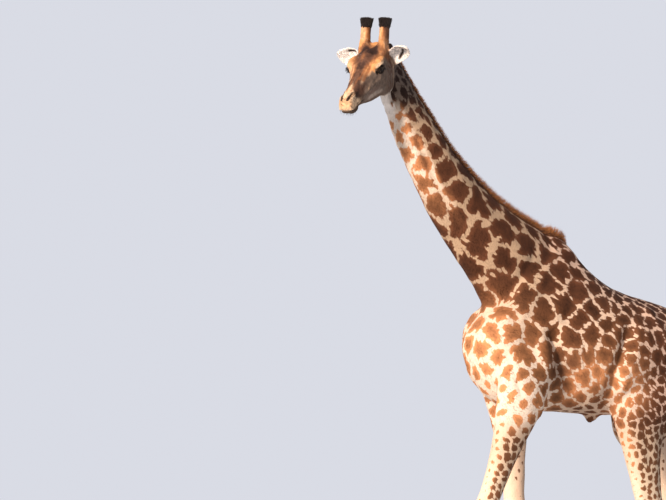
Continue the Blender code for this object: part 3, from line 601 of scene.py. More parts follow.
HEAD_SIDE_FOLDS = (
    # name, line (u, v), depth, half width
    ("mouth", ((0.690, -0.020), (0.672, -0.034), (0.640, -0.044), (0.600, -0.049), (0.545, -0.050),
               (0.490, -0.048)), -0.006, 0.0042),
    ("lip_edge", ((0.668, -0.024), (0.630, -0.034), (0.590, -0.038), (0.540, -0.040)), 0.0022, 0.006),
    ("chin_groove", ((0.600, -0.060), (0.560, -0.066)), -0.003, 0.008),
    ("face_crest", ((0.355, 0.016), (0.430, 0.006), (0.500, -0.010)), 0.0035, 0.012),
    ("nose_hollow", ((0.400, 0.048), (0.480, 0.034), (0.560, 0.022)), -0.004, 0.016),
    ("vein", ((0.370, 0.040), (0.415, 0.024), (0.450, -0.004), (0.500, -0.022)), 0.0018, 0.005),
    ("cheek_line", ((0.300, -0.010), (0.275, -0.060), (0.270, -0.110)), -0.003, 0.014),
    ("jaw_edge", ((0.120, -0.130), (0.220, -0.138), (0.330, -0.122), (0.430, -0.100)), 0.003, 0.012),
    ("temple", ((0.190, 0.052), (0.150, 0.070)), -0.007, 0.024),
    ("throat_latch", ((0.030, 0.010), (0.045, -0.060), (0.040, -0.120)), -0.008, 0.022),
    ("brow_rim", ((0.262, 0.112), (0.300, 0.112), (0.335, 0.098)), 0.004, 0.012),
)
NOSTRIL = ((0.578, 0.050, 0.037), (0.602, 0.047, 0.033), (0.625, 0.042, 0.026), (0.644, 0.032, 0.019))
EYE_HALF_LENGTH = 0.0250
EYE_HALF_HEIGHT = 0.0175
EYE_AHEAD = 0.0045  # how far the opening's middle lies in front of the eyeball's
EYE_ABOVE = 0.0008  # how far the opening's middle lies above the eyeball's
EYE_SLANT = 0.10  # the eye's front corner is this much lower for each metre forwards
EYE_ZONE = 0.055  # reach of the skin that the lids shape
LID = 0.0028  # thickness of the lids over the eyeball
SOCKET = 0.0045  # how far the skin dips behind the eyeball inside the lids
LID_FOLDS = (
    # distance outside the opening, half width, rise, whether above the eye
    (0.0115, 0.0026, -0.0030, True),
    (0.0175, 0.0045, 0.0022, True),
    (0.0120, 0.0030, -0.0012, False),
)


def eye_opening(a, b):
    """How far a place beside the eye's middle lies outside the lids' opening: forwards a, up b."""
    a = a - EYE_AHEAD
    b = b + EYE_SLANT * a - EYE_ABOVE
    reach = np.clip(1 - (a / EYE_HALF_LENGTH) ** 2, 0, 1)
    edge = EYE_HALF_HEIGHT * np.where(b > 0, reach**0.62, 0.86 * reach**0.85)
    outside = np.abs(b) - edge
    past = np.maximum(np.abs(a) - EYE_HALF_LENGTH, 0)
    return np.where(past > 0, np.hypot(past, b), outside)


def around_eye(points, side):
    """For points: how far forwards, up and outwards they lie from the eyeball's middle."""
    way = to_head(points) - to_head(box_middle(f"eye_{side}"))
    return way[:, 0], way[:, 1], way[:, 2] * SIDES[side]


def eye_zone(a, b, height):
    """The points of the skin round an eye."""
    return (np.hypot(a, b) < EYE_ZONE) & (height > -0.4 * EYE_RADIUS)


def dome(radius, reach):
    return np.sqrt(np.maximum(radius**2 - reach**2, 0))


def lids(points, web):
    """Lays the skin over the eyeballs, with a fold above, and opens the lids."""
    for side in SIDES:
        a, b, height = around_eye(points, side)
        loose = eye_zone(a, b, height) * smoothstep(0.0, 0.004, eye_opening(a, b))
        points = web.smoothed(points, 10, loose, keep_size=False)
        a, b, height = around_eye(points, side)
        outside, reach = eye_opening(a, b), np.hypot(a, b)
        lid = EYE_RADIUS + LID + 0.0016 * swell(outside - 0.003, 0.003)
        lid = np.where(outside < 0, EYE_RADIUS - SOCKET, lid)
        target = mix(dome(lid, reach), height, smoothstep(0.005, 0.019, outside))
        for at, width, depth, above in LID_FOLDS:
            target = target + depth * swell(outside - at, width) * ((b > -0.002) == above)
        covered = np.maximum(target, dome(EYE_RADIUS + 0.5 * LID, reach))
        target = np.where(outside < 0, target, covered)
        rise = (target - height) * eye_zone(a, b, height) * smoothstep(EYE_ZONE, 0.8 * EYE_ZONE, reach)
        points = points + rise[:, None] * turned_by_head((0, 0, SIDES[side]))
    return points


def nostril_gap(places, side):
    """How far points lie from a nostril's slit."""
    return distance_to_line(places.head, [(u, v, w * side) for u, v, w in NOSTRIL])


def muzzle_wrinkles(places):
    """The fine folds across the muzzle, from -1 to 1."""
    u, v, w = places.head.T
    return np.sin((u * 0.8 + np.abs(w) * 0.7 - v * 0.45) / 0.0062 * 2 + 2 * noise_at(places.head, 0.03, 2))


def sculpted(normals, places, web):
    """How far each point moves along its normal for muscles, folds, bones and wrinkles."""
    rise = np.zeros(len(normals))
    flat = smoothstep(0.15, 0.6, np.abs(normals[:, 0]))
    body = 1 - places.soft(web, *WHOLE_HEAD, rounds=3)
    left = places.own[:, 0] > 0
    above_legs = smoothstep(1.50, 1.68, places.height)
    for name, line, depth, width, side in SIDE_FOLDS:
        mask = flat * body * (above_legs if side == 0 else 1)
        if side:
            mask = mask * (left if side > 0 else ~left)
        rise += depth * swell(distance_to_line(places.side_view, line), width) * mask
    for step in SIDE_STEPS:
        rise += side_step(places.side_view, *step) * flat * body * above_legs
    trunk = places.soft(web, "trunk", rounds=10)
    for i in range(RIBS):
        y = -0.06 + RIB_SPACING * i
        line = ((y - 0.03, 2.36 - 0.012 * i), (y + 0.05, 2.10), (y + 0.09, 1.93 + 0.01 * i))
        rise += RIB_DEPTH * swell(distance_to_line(places.side_view, line), 0.014) * flat * trunk
    for leg, chain in LEG_JOINTS.items():
        mine = (left if leg.endswith("left") else ~left) * places.on(leg)
        for name, ends, depth, width, flanks in LEG_FOLDS:
            line = [np.add(chain[joint], (y, z)) for joint, y, z in ends]
            far = distance_to_line(places.side_view, line)
            rise += depth * mine * (flat if flanks else 1) * swell(far, width)
        top, joint = np.array(chain[0]), np.array(chain[1])
        upper = (top + (0.02, -0.08), top * 0.45 + joint * 0.55 + (0.035, 0))
        depth, width = FOREARM_FOLD
        rise += depth * mine * flat * swell(distance_to_line(places.side_view, upper), width)
        height, width, depth = CORONET
        rise += depth * mine * swell(places.height - height, width)
    u, v, w = places.head.T
    in_head = places.on("head")
    sideways = smoothstep(0.2, 0.6, np.abs((normals @ AXES.T)[:, 0]))
    for name, line, depth, width in HEAD_SIDE_FOLDS:
        mask = in_head * (1.0 if name in ("mouth", "lip_edge") else sideways)
        rise += depth * swell(distance_to_line(places.head[:, :2], line), width) * mask
    for s in SIDES.values():
        gap = nostril_gap(places, s)
        rise += in_head * (0.0034 * swell(gap - 0.015, 0.006) - 0.016 * swell(gap, 0.0078))
    muzzle = in_head * smoothstep(0.54, 0.60, u)
    depth = 0.0011 * muzzle * smoothstep(-0.03, 0.0, v) * (1 - smoothstep(0.648, 0.668, u))
    rise += depth * muzzle_wrinkles(places)
    brow = in_head * swell(np.hypot(u - 0.10, v - 0.165), 0.05)
    lumps = noise_at(places.head, 0.022, 3)
    rise += 0.004 * brow * lumps
    rise += in_head * 0.0012 * noise_at(places.head, 0.035, 4)
    skin_lumps = noise_at(places.own, 0.11, 5) * 0.0035 + noise_at(places.own, 0.05, 6) * 0.0012
    rise += skin_lumps * body * mix(0.35, 1.0, above_legs)
    creases = places.soft(web, "neck", rounds=12) * smoothstep(3.15, 3.6, places.height)
    run = (places.side_view - NECK_LINE[0]) @ NECK_UP[1:]
    rise += 0.0016 * creases * np.sin(run / 0.017 + 3 * noise_at(places.own, 0.12, 7))
    return rise


def coat_depth(places, web):
    """How far the skin lies inside the solids, which reach to the tips of the hair."""
    fine = places.soft(web, *LIMBS, "head", rounds=8)
    finer = places.soft(web, *EARS, *HORNS)
    depth = mix(0.0042, 0.0022, np.clip(fine, 0, 1))
    return mix(depth, 0.0010, np.clip(finer, 0, 1)) * (1 - places.soft(web, *EARS, rounds=3))


def shaped_skin(sizes):
    """The whole skin with its folds, and what its points know about their places."""
    mesh = skin_mesh(sizes)
    web = Web(mesh)
    points = points_of(mesh)
    places = Places(points, normals_of(mesh))
    leg = places.soft(web, *LIMBS, "tail", rounds=20) * (1 - smoothstep(1.45, 1.75, places.height))
    head = places.soft(web, *WHOLE_HEAD, rounds=3)
    thin = places.soft(web, *EARS, rounds=3)
    weight = mix(mix(1.0, 0.55, leg), 0.55, head)
    points = web.smoothed(points, sizes.smoothing, mix(weight, 0.75, thin))
    plane = (points - body_point(HEAD_CUT[0])) @ unit(HEAD_CUT[1])
    seam = swell(plane, 0.03) * (1 - places.on("head"))
    points = web.smoothed(points, 12, seam, keep_size=False)
    set_points(mesh, points)
    normals = normals_of(mesh)
    points = points - normals * coat_depth(places, web)[:, None]
    set_points(mesh, points)
    normals = normals_of(mesh)
    points = points + normals * sculpted(normals, places, web)[:, None]
    points = lids(points, web)
    points[:, 2] = np.maximum(points[:, 2], SKIN_END)
    set_points(mesh, points)
    return mesh, web, Places(points, normals_of(mesh))


# ---- Markings --------------------------------------------------------------------------------

# The ground between the patches, palest first, then the patches, palest first.
CREAM = (0.85, 0.725, 0.60)
TAN = (0.79, 0.60, 0.45)
ROSE = (0.66, 0.465, 0.360)
SAND = (0.50, 0.355, 0.235)
# painted shade: a grey-brown ground for coat that lies in shadow
PAINTED_SHADE = (0.165, 0.125, 0.102)
# painted light: the patches' own brown brightened to orange, as if lit by a low sun
SUNLIT_HONEY = (0.62, 0.275, 0.120)
TAWNY = (0.29, 0.128, 0.055)
RUSSET = (0.185, 0.076, 0.032)
NAPE = (0.170, 0.068, 0.032)
BROWN = (0.098, 0.037, 0.018)
DARK = (0.050, 0.023, 0.016)
SEED_PACKING = 0.86  # the seeds' least distance, as a share of the cell size
SEEDS_NEAR = 9  # how many seeds around a point may own it
SHADE_SEED = 7  # of each patch's own shade
WARPS = ((0.15, 11, 0.22), (0.05, 21, 0.06))  # lumps that bend the cells: size, seed, share of a cell
RAGGED = ((0.030, 31, 0.0066), (0.013, 32, 0.0036))  # lumps of the patches' edges: size, seed, depth
NOTCH_TURNS = 3.2  # how closely the notches follow each other round a patch
NOTCH_DEPTH = 0.62  # of a cell
LEAFY_FROM = 1.5  # notched patches above this height

BODY_MARKS = (
    # name, place in the side view (y, z), reach, spacing, half line, lengthening, patch, ground
    # poll: its ground darkened to grey-brown as painted shade behind the jaw
    ("poll", (-1.30, 3.89), 0.16, 0.062, 0.0022, 1.9, (0.026, 0.014, 0.011), PAINTED_SHADE),
    ("upper_neck", (-1.17, 3.60), 0.11, 0.080, 0.0056, 1.5, BROWN, SAND),
    ("neck", (-1.02, 3.34), 0.20, 0.145, 0.0062, 1.25, BROWN, SAND),
    ("low_neck", (-0.72, 2.92), 0.24, 0.190, 0.0066, 1.25, BROWN, SAND),
    ("neck_root", (-0.42, 2.60), 0.22, 0.190, 0.0062, 1.15, BROWN, SAND),
    ("shoulder", (-0.34, 2.25), 0.17, 0.160, 0.0052, 1.1, RUSSET, TAN),
    # breast: paler ground and orange patches, painted light where a low sun falls
    ("breast", (-0.66, 2.22), 0.16, 0.130, 0.0100, 1.3, SUNLIT_HONEY, CREAM),
    ("arm", (-0.44, 1.95), 0.13, 0.100, 0.0070, 1.1, TAWNY, CREAM),
    # arm_front: paler ground and orange patches, painted light where a low sun falls
    ("arm_front", (-0.62, 1.82), 0.10, 0.085, 0.0200, 1.3, SUNLIT_HONEY, CREAM),
    # armpit: dark ground and patches, painted shade behind the foreleg
    ("armpit_shade", (-0.17, 2.02), 0.075, 0.095, 0.0030, 1.0, DARK, (0.24, 0.175, 0.13)),
    ("withers", (-0.02, 2.80), 0.13, 0.105, 0.0042, 1.2, BROWN, ROSE),
    ("ribs_front", (0.00, 2.40), 0.18, 0.122, 0.0042, 1.1, BROWN, TAN),
    ("back", (0.35, 2.55), 0.16, 0.078, 0.0030, 1.2, DARK, ROSE),
    ("loin", (0.78, 2.46), 0.18, 0.080, 0.0030, 1.2, DARK, ROSE),
    ("flank", (0.26, 2.22), 0.18, 0.110, 0.0038, 1.0, RUSSET, TAN),
    # barrel: paler ground and orange patches, painted light where a low sun falls
    ("barrel", (0.03, 1.99), 0.10, 0.125, 0.0050, 1.0, SUNLIT_HONEY, CREAM),
    # belly: ground darkened as painted shade under the barrel
    ("belly", (0.12, 1.78), 0.09, 0.085, 0.0034, 1.2, BROWN, (0.52, 0.37, 0.255)),
    # thigh_front: paler ground and orange patches, painted light where a low sun falls
    ("thigh_front", (0.33, 1.92), 0.095, 0.070, 0.0080, 1.0, SUNLIT_HONEY, CREAM),
    ("haunch", (0.66, 2.20), 0.19, 0.088, 0.0034, 1.0, BROWN, ROSE),
    ("rump", (1.04, 2.20), 0.18, 0.086, 0.0036, 1.0, BROWN, ROSE),
    ("thigh", (0.62, 1.84), 0.15, 0.060, 0.0036, 1.0, BROWN, ROSE),
)
LEG_MARKS = (
    # height, spacing, half line, patch, ground
    (0.10, 0.032, 0.0080, (0.34, 0.19, 0.10), (0.74, 0.62, 0.47)),
    (0.30, 0.034, 0.0080, (0.32, 0.17, 0.085), (0.78, 0.66, 0.51)),
    (0.65, 0.037, 0.0078, (0.26, 0.125, 0.060), (0.80, 0.68, 0.53)),
    (1.00, 0.040, 0.0074, (0.19, 0.085, 0.040), (0.78, 0.65, 0.49)),
    (1.25, 0.046, 0.0072, (0.15, 0.065, 0.031), (0.74, 0.59, 0.43)),
    (1.60, 0.060, 0.0056, (0.12, 0.052, 0.025), (0.62, 0.46, 0.33)),
)


class Markings:
    """The patches: cells round scattered seeds, parted by pale lines."""

    def __init__(self, places, web, sizes):
        self.places = places
        self.leg = places.soft(web, *LIMBS, rounds=10) * (1 - smoothstep(1.50, 1.85, places.height))
        self.fields(sizes)
        self.seeds = self.scattered(sizes.seed)
        self.mark, self.tone = self.cells()
        self.fade_and_paint_light_and_shade()

    def fields(self, sizes):
        """Cell size, line width and the two colours at each point."""
        places = self.places
        weight = np.stack([
            np.exp(-0.5 * (np.linalg.norm(places.side_view - row[1], axis=1) / row[2]) ** 2) + 1e-9
            for row in BODY_MARKS
        ], 1)
        weight /= weight.sum(1, keepdims=True)
        heights = [row[0] for row in LEG_MARKS]

        def field(body_column, leg_column):
            body = weight @ np.array([row[body_column] for row in BODY_MARKS], float)
            table = np.array([row[leg_column] for row in LEG_MARKS], float)
            if body.ndim == 1:
                return mix(body, np.interp(places.height, heights, table), self.leg)
            leg = np.stack([np.interp(places.height, heights, column) for column in table.T], 1)
            return mix(body, leg, self.leg)

        self.spacing = field(3, 1) * sizes.patch_size
        self.line = field(4, 2)
        self.long = mix(weight @ np.array([row[5] for row in BODY_MARKS]), 1.0, self.leg)
        self.patch, self.ground = field(6, 3), field(7, 4)
        trunk = smoothstep(-0.25, 0.15, places.own[:, 1]) * (1 - self.leg)
        self.way = unit(mix(np.tile(-NECK_UP, (len(trunk), 1)), (0, 1.0, -0.25), trunk))

    def scattered(self, seed):
        """Seeds about the cell size apart, in a fixed random order."""
        tree = tree_of(self.places.points)
        taken = np.zeros(len(self.places.points), bool)
        found = []
        for index in np.random.default_rng(seed).permutation(len(taken)):
            if taken[index]:
                continue
            found.append(index)
            near = tree.find_range(self.places.points[index], self.spacing[index] * SEED_PACKING)
            taken[[item[1] for item in near]] = True
        return np.array(found)

    def cells(self):
        """Distance in from each cell's edge, less the line, and each cell's own shade."""
        points = self.places.own
        moved = points
        for lump, seed, share in WARPS:
            warp = np.stack([noise_at(points, lump, seed + i) for i in range(3)], 1)
            moved = moved + warp * self.spacing[:, None] * share
        seeds = points[self.seeds]
        tree = tree_of(seeds)
        near = np.array([[item[1] for item in tree.find_n(point, SEEDS_NEAR)] for point in moved])
        gap = moved[:, None, :] - seeds[near]
        way = self.way[self.seeds][near]
        along = (gap * way).sum(2)
        stretch = self.long[self.seeds][near]
        squared = (gap**2).sum(2) - along**2 * (1 - 1 / stretch**2)
        size = self.spacing[self.seeds][near]
        share = np.sqrt(np.maximum(squared, 1e-12)) / size
        order = np.argsort(share, axis=1)
        share, near, size = (np.take_along_axis(values, order, 1) for values in (share, near, size))
        own, first = seeds[near[:, 0]], size[:, 0]
        apart = np.linalg.norm(own[:, None, :] - seeds[near[:, 1:]], axis=2)
        apart = np.maximum(apart / (0.5 * (size[:, :1] + size[:, 1:])), 0.35)
        edges = (share[:, 1:] ** 2 - share[:, :1] ** 2) / (2 * apart) * first[:, None]
        soft = 0.05 * first[:, None]
        edge = -soft[:, 0] * np.log(np.exp(-edges / soft).sum(1))
        inward = unit(moved - own)
        leafy = self.places.own[:, 2] > LEAFY_FROM
        notch = np.array([
            noise.noise(Vector(way * NOTCH_TURNS) + Vector((seed * 3.7, 0, 0)))
            for way, seed in zip(inward, near[:, 0])
        ])
        depth = np.clip(notch - 0.15, 0, 1) * first * NOTCH_DEPTH * leafy
        edge = edge - depth * smoothstep(0.10, 0.45, share[:, 0])
        ragged = sum(noise_at(points, lump, seed) * depth for lump, seed, depth in RAGGED)
        ragged = ragged * np.clip(first / 0.12, 0.35, 1.2)
        tones = np.random.default_rng(SHADE_SEED).uniform(-1, 1, len(seeds))
        return edge - self.line + ragged, tones[near[:, 0]]

    def fade_and_paint_light_and_shade(self):
        """Where the patches thin out: on the legs' fronts and inner sides, the throat and belly. Also
        painted light on the legs' and the neck's fronts, which get paler ground and orange patches, and
        painted shade on the legs' inner and rear sides, which get darker ground.
        """
        places = self.places
        outward = places.normals[:, 0] * np.sign(places.own[:, 0])
        inner = smoothstep(0.15, -0.45, outward) * self.leg
        front = smoothstep(0.25, 0.80, -places.normals[:, 1]) * self.leg
        # painted light: orange patches on the legs' fronts, as if sunlit
        self.patch = mix(self.patch, SUNLIT_HONEY, 0.6 * front)
        low = 1 - smoothstep(0.15, 1.0, places.height)
        front = front * mix(0.80, 0.30, smoothstep(1.00, 1.45, places.height))
        bare = np.clip(inner * 0.55 + front, 0, 1)
        self.mark = self.mark - 0.020 * bare - 0.0045 * low * self.leg
        neck = smoothstep(0.22, 0.58, -places.normals[:, 1]) * smoothstep(2.90, 3.35, places.height)
        neck = neck * smoothstep(3.80, 3.70, places.height)
        # partly painted light: orange patches and cream ground on the neck's front, which is also paler of
        # its own
        self.patch = mix(self.patch, SUNLIT_HONEY, 0.70 * neck)
        self.ground = mix(self.ground, CREAM, 0.85 * neck)
        under = smoothstep(0.55, 0.92, -places.normals[:, 2]) * smoothstep(1.6, 1.8, places.height)
        under = under * (places.own[:, 1] > -0.1)
        self.mark = self.mark - 0.008 * under
        # painted light: cream ground on the legs' fronts; the belly's paler underside is its own colour
        self.ground = mix(self.ground, CREAM, np.clip(front * 0.8 + under * 0.3, 0, 1))
        # painted shade: a tan ground on the legs' inner sides
        self.ground = mix(self.ground, TAN, np.clip(inner * 0.8 - front, 0, 1))
        # painted shade: a darker ground on the legs' rear sides
        rear = smoothstep(0.0, 0.8, places.normals[:, 1]) * self.leg * smoothstep(0.9, 1.3, places.height)
        self.ground = mix(self.ground, PAINTED_SHADE, 0.45 * rear)


FACE = {  # the head's colours
    "snow": (0.92, 0.89, 0.86),
    "white": (0.80, 0.73, 0.64),
    "cream": (0.66, 0.49, 0.325),
    "orange": (0.50, 0.235, 0.085),
    "rust": (0.20, 0.080, 0.034),
    "ash": (0.250, 0.195, 0.165),
    "grey": (0.098, 0.074, 0.064),
    "dark": (0.036, 0.020, 0.016),
    "umber": (0.090, 0.046, 0.031),
    "black": (0.010, 0.007, 0.006),
}


class FacePaint:
    """Colours laid over one another on the skin of the head."""

    def __init__(self, places, colour):
        self.u, self.v, self.w = places.head.T
        self.places, self.colour = places, colour
        self.side, self.normals = np.abs(self.w), places.normals @ AXES.T
        self.at = np.stack([self.u, self.v, self.side], 1)
        self.wobble = noise_at(places.head, 0.035, 41) * 0.35 + noise_at(places.head, 0.014, 42) * 0.25

    def lay(self, name, mask, strength=1.0):
        self.colour = mix(self.colour, FACE[name], np.clip(mask * strength, 0, 1))

    def spot(self, name, middle, half, strength=1.0, soft=0.40, where=1.0):
        """An ellipsoid of colour in (u, v, |w|)."""
        far = np.linalg.norm((self.at - middle) / np.array(half), axis=1) + self.wobble * 0.6
        self.lay(name, where * (1 - smoothstep(1 - soft, 1 + soft, far)), strength)

    def stroke(self, name, line, width, strength=1.0, where=1.0):
        """A line of colour through points (u, v, |w|)."""
        far = distance_to_line(self.at, line) / width + self.wobble * 0.9
        self.lay(name, where * (1 - smoothstep(0.5, 1.4, far)), strength)


FACE_SPOTS = (
    # colour, middle (u, v, |w|), half sizes, strength, softness where it isn't the usual one
    ("rust", (0.235, 0.150, 0.030), (0.115, 0.085, 0.060), 0.92),
    ("umber", (0.220, 0.158, 0.028), (0.088, 0.080, 0.044), 0.95),
    ("dark", (0.206, 0.160, 0.030), (0.054, 0.080, 0.032), 1.0, 0.22),
    ("umber", (0.300, 0.130, 0.030), (0.046, 0.060, 0.026), 0.85),
    ("rust", (0.150, 0.100, 0.090), (0.075, 0.060, 0.024), 0.80),
    ("umber", (0.520, 0.030, 0.048), (0.052, 0.046, 0.030), 0.95),
    ("dark", (0.545, 0.036, 0.044), (0.030, 0.032, 0.024), 0.85),
    ("ash", (0.400, -0.045, 0.070), (0.100, 0.036, 0.040), 0.60),
    ("umber", (0.480, 0.045, 0.052), (0.040, 0.022, 0.024), 0.55),
    ("cream", (0.300, 0.118, 0.105), (0.030, 0.008, 0.030), 0.40),
    ("dark", (0.066, 0.126, 0.098), (0.042, 0.034, 0.026), 0.95),
    ("dark", (0.606, -0.032, 0.050), (0.044, 0.018, 0.028), 0.80),
    ("umber", (0.375, -0.030, 0.075), (0.055, 0.018, 0.030), 0.35),
    ("white", (0.350, -0.070, 0.060), (0.100, 0.020, 0.040), 0.22),
)
FACE_STROKES = (
    # colour, line of (u, v, |w|), half width, strength
    ("umber", ((0.285, 0.140, 0.010), (0.345, 0.125, 0.010), (0.400, 0.108, 0.008), (0.470, 0.086, 0.016),
               (0.530, 0.056, 0.034)), 0.023, 0.97),
    ("dark", ((0.320, 0.130, 0.010), (0.360, 0.118, 0.010)), 0.013, 0.75),
    ("dark", ((0.410, 0.095, 0.024), (0.470, 0.072, 0.032), (0.520, 0.050, 0.040)), 0.011, 0.70),
    ("rust", ((0.300, 0.130, 0.042), (0.380, 0.108, 0.036), (0.450, 0.082, 0.028)), 0.007, 0.70),
    ("rust", ((0.310, 0.120, 0.066), (0.380, 0.094, 0.056), (0.440, 0.070, 0.050)), 0.009, 0.75),
    ("rust", ((0.440, 0.092, 0.020), (0.520, 0.072, 0.018), (0.570, 0.062, 0.016)), 0.006, 0.65),
    ("umber", ((0.500, 0.070, 0.034), (0.560, 0.050, 0.040), (0.600, 0.030, 0.044)), 0.008, 0.60),
    ("dark", ((0.322, 0.060, 0.105), (0.352, 0.040, 0.098), (0.372, 0.020, 0.092)), 0.005, 0.35),
)
MUZZLE_STROKES = (  # as above, laid over the muzzle's colour
    ("umber", ((0.586, 0.067, 0.020), (0.610, 0.063, 0.015), (0.634, 0.054, 0.009)), 0.0026, 0.85),
    ("umber", ((0.586, 0.030, 0.047), (0.614, 0.023, 0.043), (0.642, 0.013, 0.034)), 0.0028, 0.80),
    ("umber", ((0.570, 0.016, 0.052), (0.600, 0.008, 0.049), (0.632, -0.002, 0.042)), 0.0026, 0.75),
)
EAR_FACES = {"left": (0.90, -0.16, 0.34), "right": (0.88, 0.24, -0.02)}  # the way each ear opens
EAR_TIPS = {"left": (0.10, 0.68, 0.73), "right": (0.02, 0.40, -0.91)}  # the way each ear points
EAR_STREAKS = {
    "left": ((0.092, 0.134, 0.200), (0.084, 0.106, 0.188), (0.080, 0.080, 0.174), (0.083, 0.044, 0.146)),
    "right": ((0.082, 0.098, 0.165), (0.082, 0.101, 0.188), (0.084, 0.102, 0.208)),
}


def on_skull(places):
    """The part of the head's solid that is skull, without the neck's first hand below it."""
    u, v = places.head.T[:2]
    return np.maximum(smoothstep(0.095, 0.165, u + 0.25 * v), smoothstep(0.07, 0.12, v))


def paint_skull(paint, on_head):
    """The grey cheeks, the orange forehead and their dark blotches and streaks. The cheeks' grey is partly
    painted shade and the top's orange partly painted light; the face's right side is painted paler as
    painted light and its left side darker as painted shade.
    """
    places, u, v, w = paint.places, paint.u, paint.v, paint.w
    sideways = np.abs(paint.normals[:, 0]) + 0.3 * paint.wobble
    top = smoothstep(0.84, 0.50, sideways) * (paint.normals[:, 2] > -0.2)
    rear_half = smoothstep(0.50, 0.36, u)
    low_side = (1 - top) * smoothstep(0.135, 0.105, v)
    # partly painted shade: the sides of the face below the brow grey
    paint.lay("grey", on_head * low_side * smoothstep(0.58, 0.50, u), 0.92)
    paint.lay("rust", on_head * (1 - top) * smoothstep(0.105, 0.135, v), 0.80)
    paint.lay("grey", on_head * swell(noise_at(places.head, 0.05, 43), 0.10) * (1 - top) * rear_half, 0.3)
    paint.lay("umber", on_head * smoothstep(0.10, 0.55, noise_at(places.head, 0.06, 44)) * (1 - top), 0.35)
    paint.lay("white", on_head * smoothstep(-0.118, -0.142, v) * smoothstep(0.52, 0.44, u), 0.70)
    # partly painted light: the face's top, which faces up and forwards, orange
    paint.lay("orange", on_head * top * smoothstep(0.50, 0.38, u), 0.92)
    paint.lay("orange", on_head * top * smoothstep(0.50, 0.60, u), 0.30)
    # painted light on the face's right side (paler cream) and painted shade on its left side (darker umber)
    paint.lay("cream", on_head * top * smoothstep(-0.02, -0.06, w) * smoothstep(0.26, 0.36, u), 0.45)
    shaded = smoothstep(0.34, 0.42, u) * smoothstep(0.57, 0.52, u) * smoothstep(0.018, 0.036, w)
    paint.lay("umber", on_head * top * shaded, 0.75)
    for spot in FACE_SPOTS:
        paint.spot(*spot, where=on_head)
    for stroke in FACE_STROKES:
        paint.stroke(*stroke, where=on_head)
    streaks = smoothstep(-0.1, 0.5, np.sin(u / 0.0060 + 9 * paint.wobble + v * 22))
    rear = on_head * smoothstep(0.275, 0.22, u) * (1 - smoothstep(0.06, 0.10, v)) * (paint.side > 0.05)
    paint.lay("umber", rear * streaks, 0.85)


def paint_eyes(paint):
    """The black lids, partly painted shadow of the lashes, the dark corners and the pale brows."""
    for s in SIDES:
        a, b, height = around_eye(paint.places.points, s)
        outside, near = eye_opening(a, b), eye_zone(a, b, height)
        ring = near * (1 - smoothstep(0.018, 0.030, outside))
        paint.lay("grey", ring * smoothstep(-0.012, -0.020, a), 0.9)
        # black round the opening: partly the lids' dark skin, partly painted shadow of the lashes
        paint.lay("black", near * (1 - smoothstep(0.0095, 0.0160, outside)), 0.99)
        tear = distance_to_line(np.stack([a, b], 1), ((0.022, -0.004), (0.040, -0.014)))
        paint.lay("black", near * (1 - smoothstep(0.003, 0.008, tear)), 0.8)
        brow = distance_to_line(np.stack([a, b], 1), ((-0.026, 0.038), (0.002, 0.042), (0.034, 0.036)))
        paint.lay("cream", near * (1 - smoothstep(0.003, 0.011, brow)), 0.8)


def paint_muzzle(paint, on_head):
    """The pale muzzle with its folds, the mouth, the dark chin and the nostrils, with painted shade in the
    folds' grooves, along the mouth, in the nostrils and, partly, on the chin under the lip.
    """
    places, u, v = paint.places, paint.u, paint.v
    muzzle = on_head * smoothstep(0.565, 0.605, u + 0.014 * paint.wobble)
    paint.lay("cream", muzzle * smoothstep(-0.050, -0.020, v), 0.80)
    paint.lay("orange", muzzle * smoothstep(0.62, 0.66, u) * smoothstep(-0.03, 0.01, v), 0.50)
    folds = smoothstep(0.45, 0.95, -muzzle_wrinkles(places))
    broken = smoothstep(-0.3, 0.3, noise_at(places.head, 0.02, 45))
    # painted shade: umber in the grooves of the sculpted wrinkles
    paint.lay("umber", muzzle * folds * smoothstep(-0.03, 0.0, v) * broken, 0.85)
    for stroke in MUZZLE_STROKES:
        paint.stroke(*stroke, where=on_head)
    mouth = HEAD_SIDE_FOLDS[0][1]
    lip_height = np.interp(u, *zip(*reversed(mouth)))
    # partly painted shade: the chin under the lip dark
    paint.lay("dark", on_head * smoothstep(0.49, 0.54, u) * smoothstep(0.0, 0.006, lip_height - v), 0.90)
    lip = distance_to_line(places.head[:, :2], mouth)
    # painted shade along the mouth's line
    paint.lay("dark", on_head * (1 - smoothstep(0.002, 0.006, lip)), 0.9)
    # painted shade in the nostrils' slits
    for s in SIDES.values():
        paint.lay("dark", on_head * (1 - smoothstep(0.009, 0.014, nostril_gap(places, s))), 0.97)


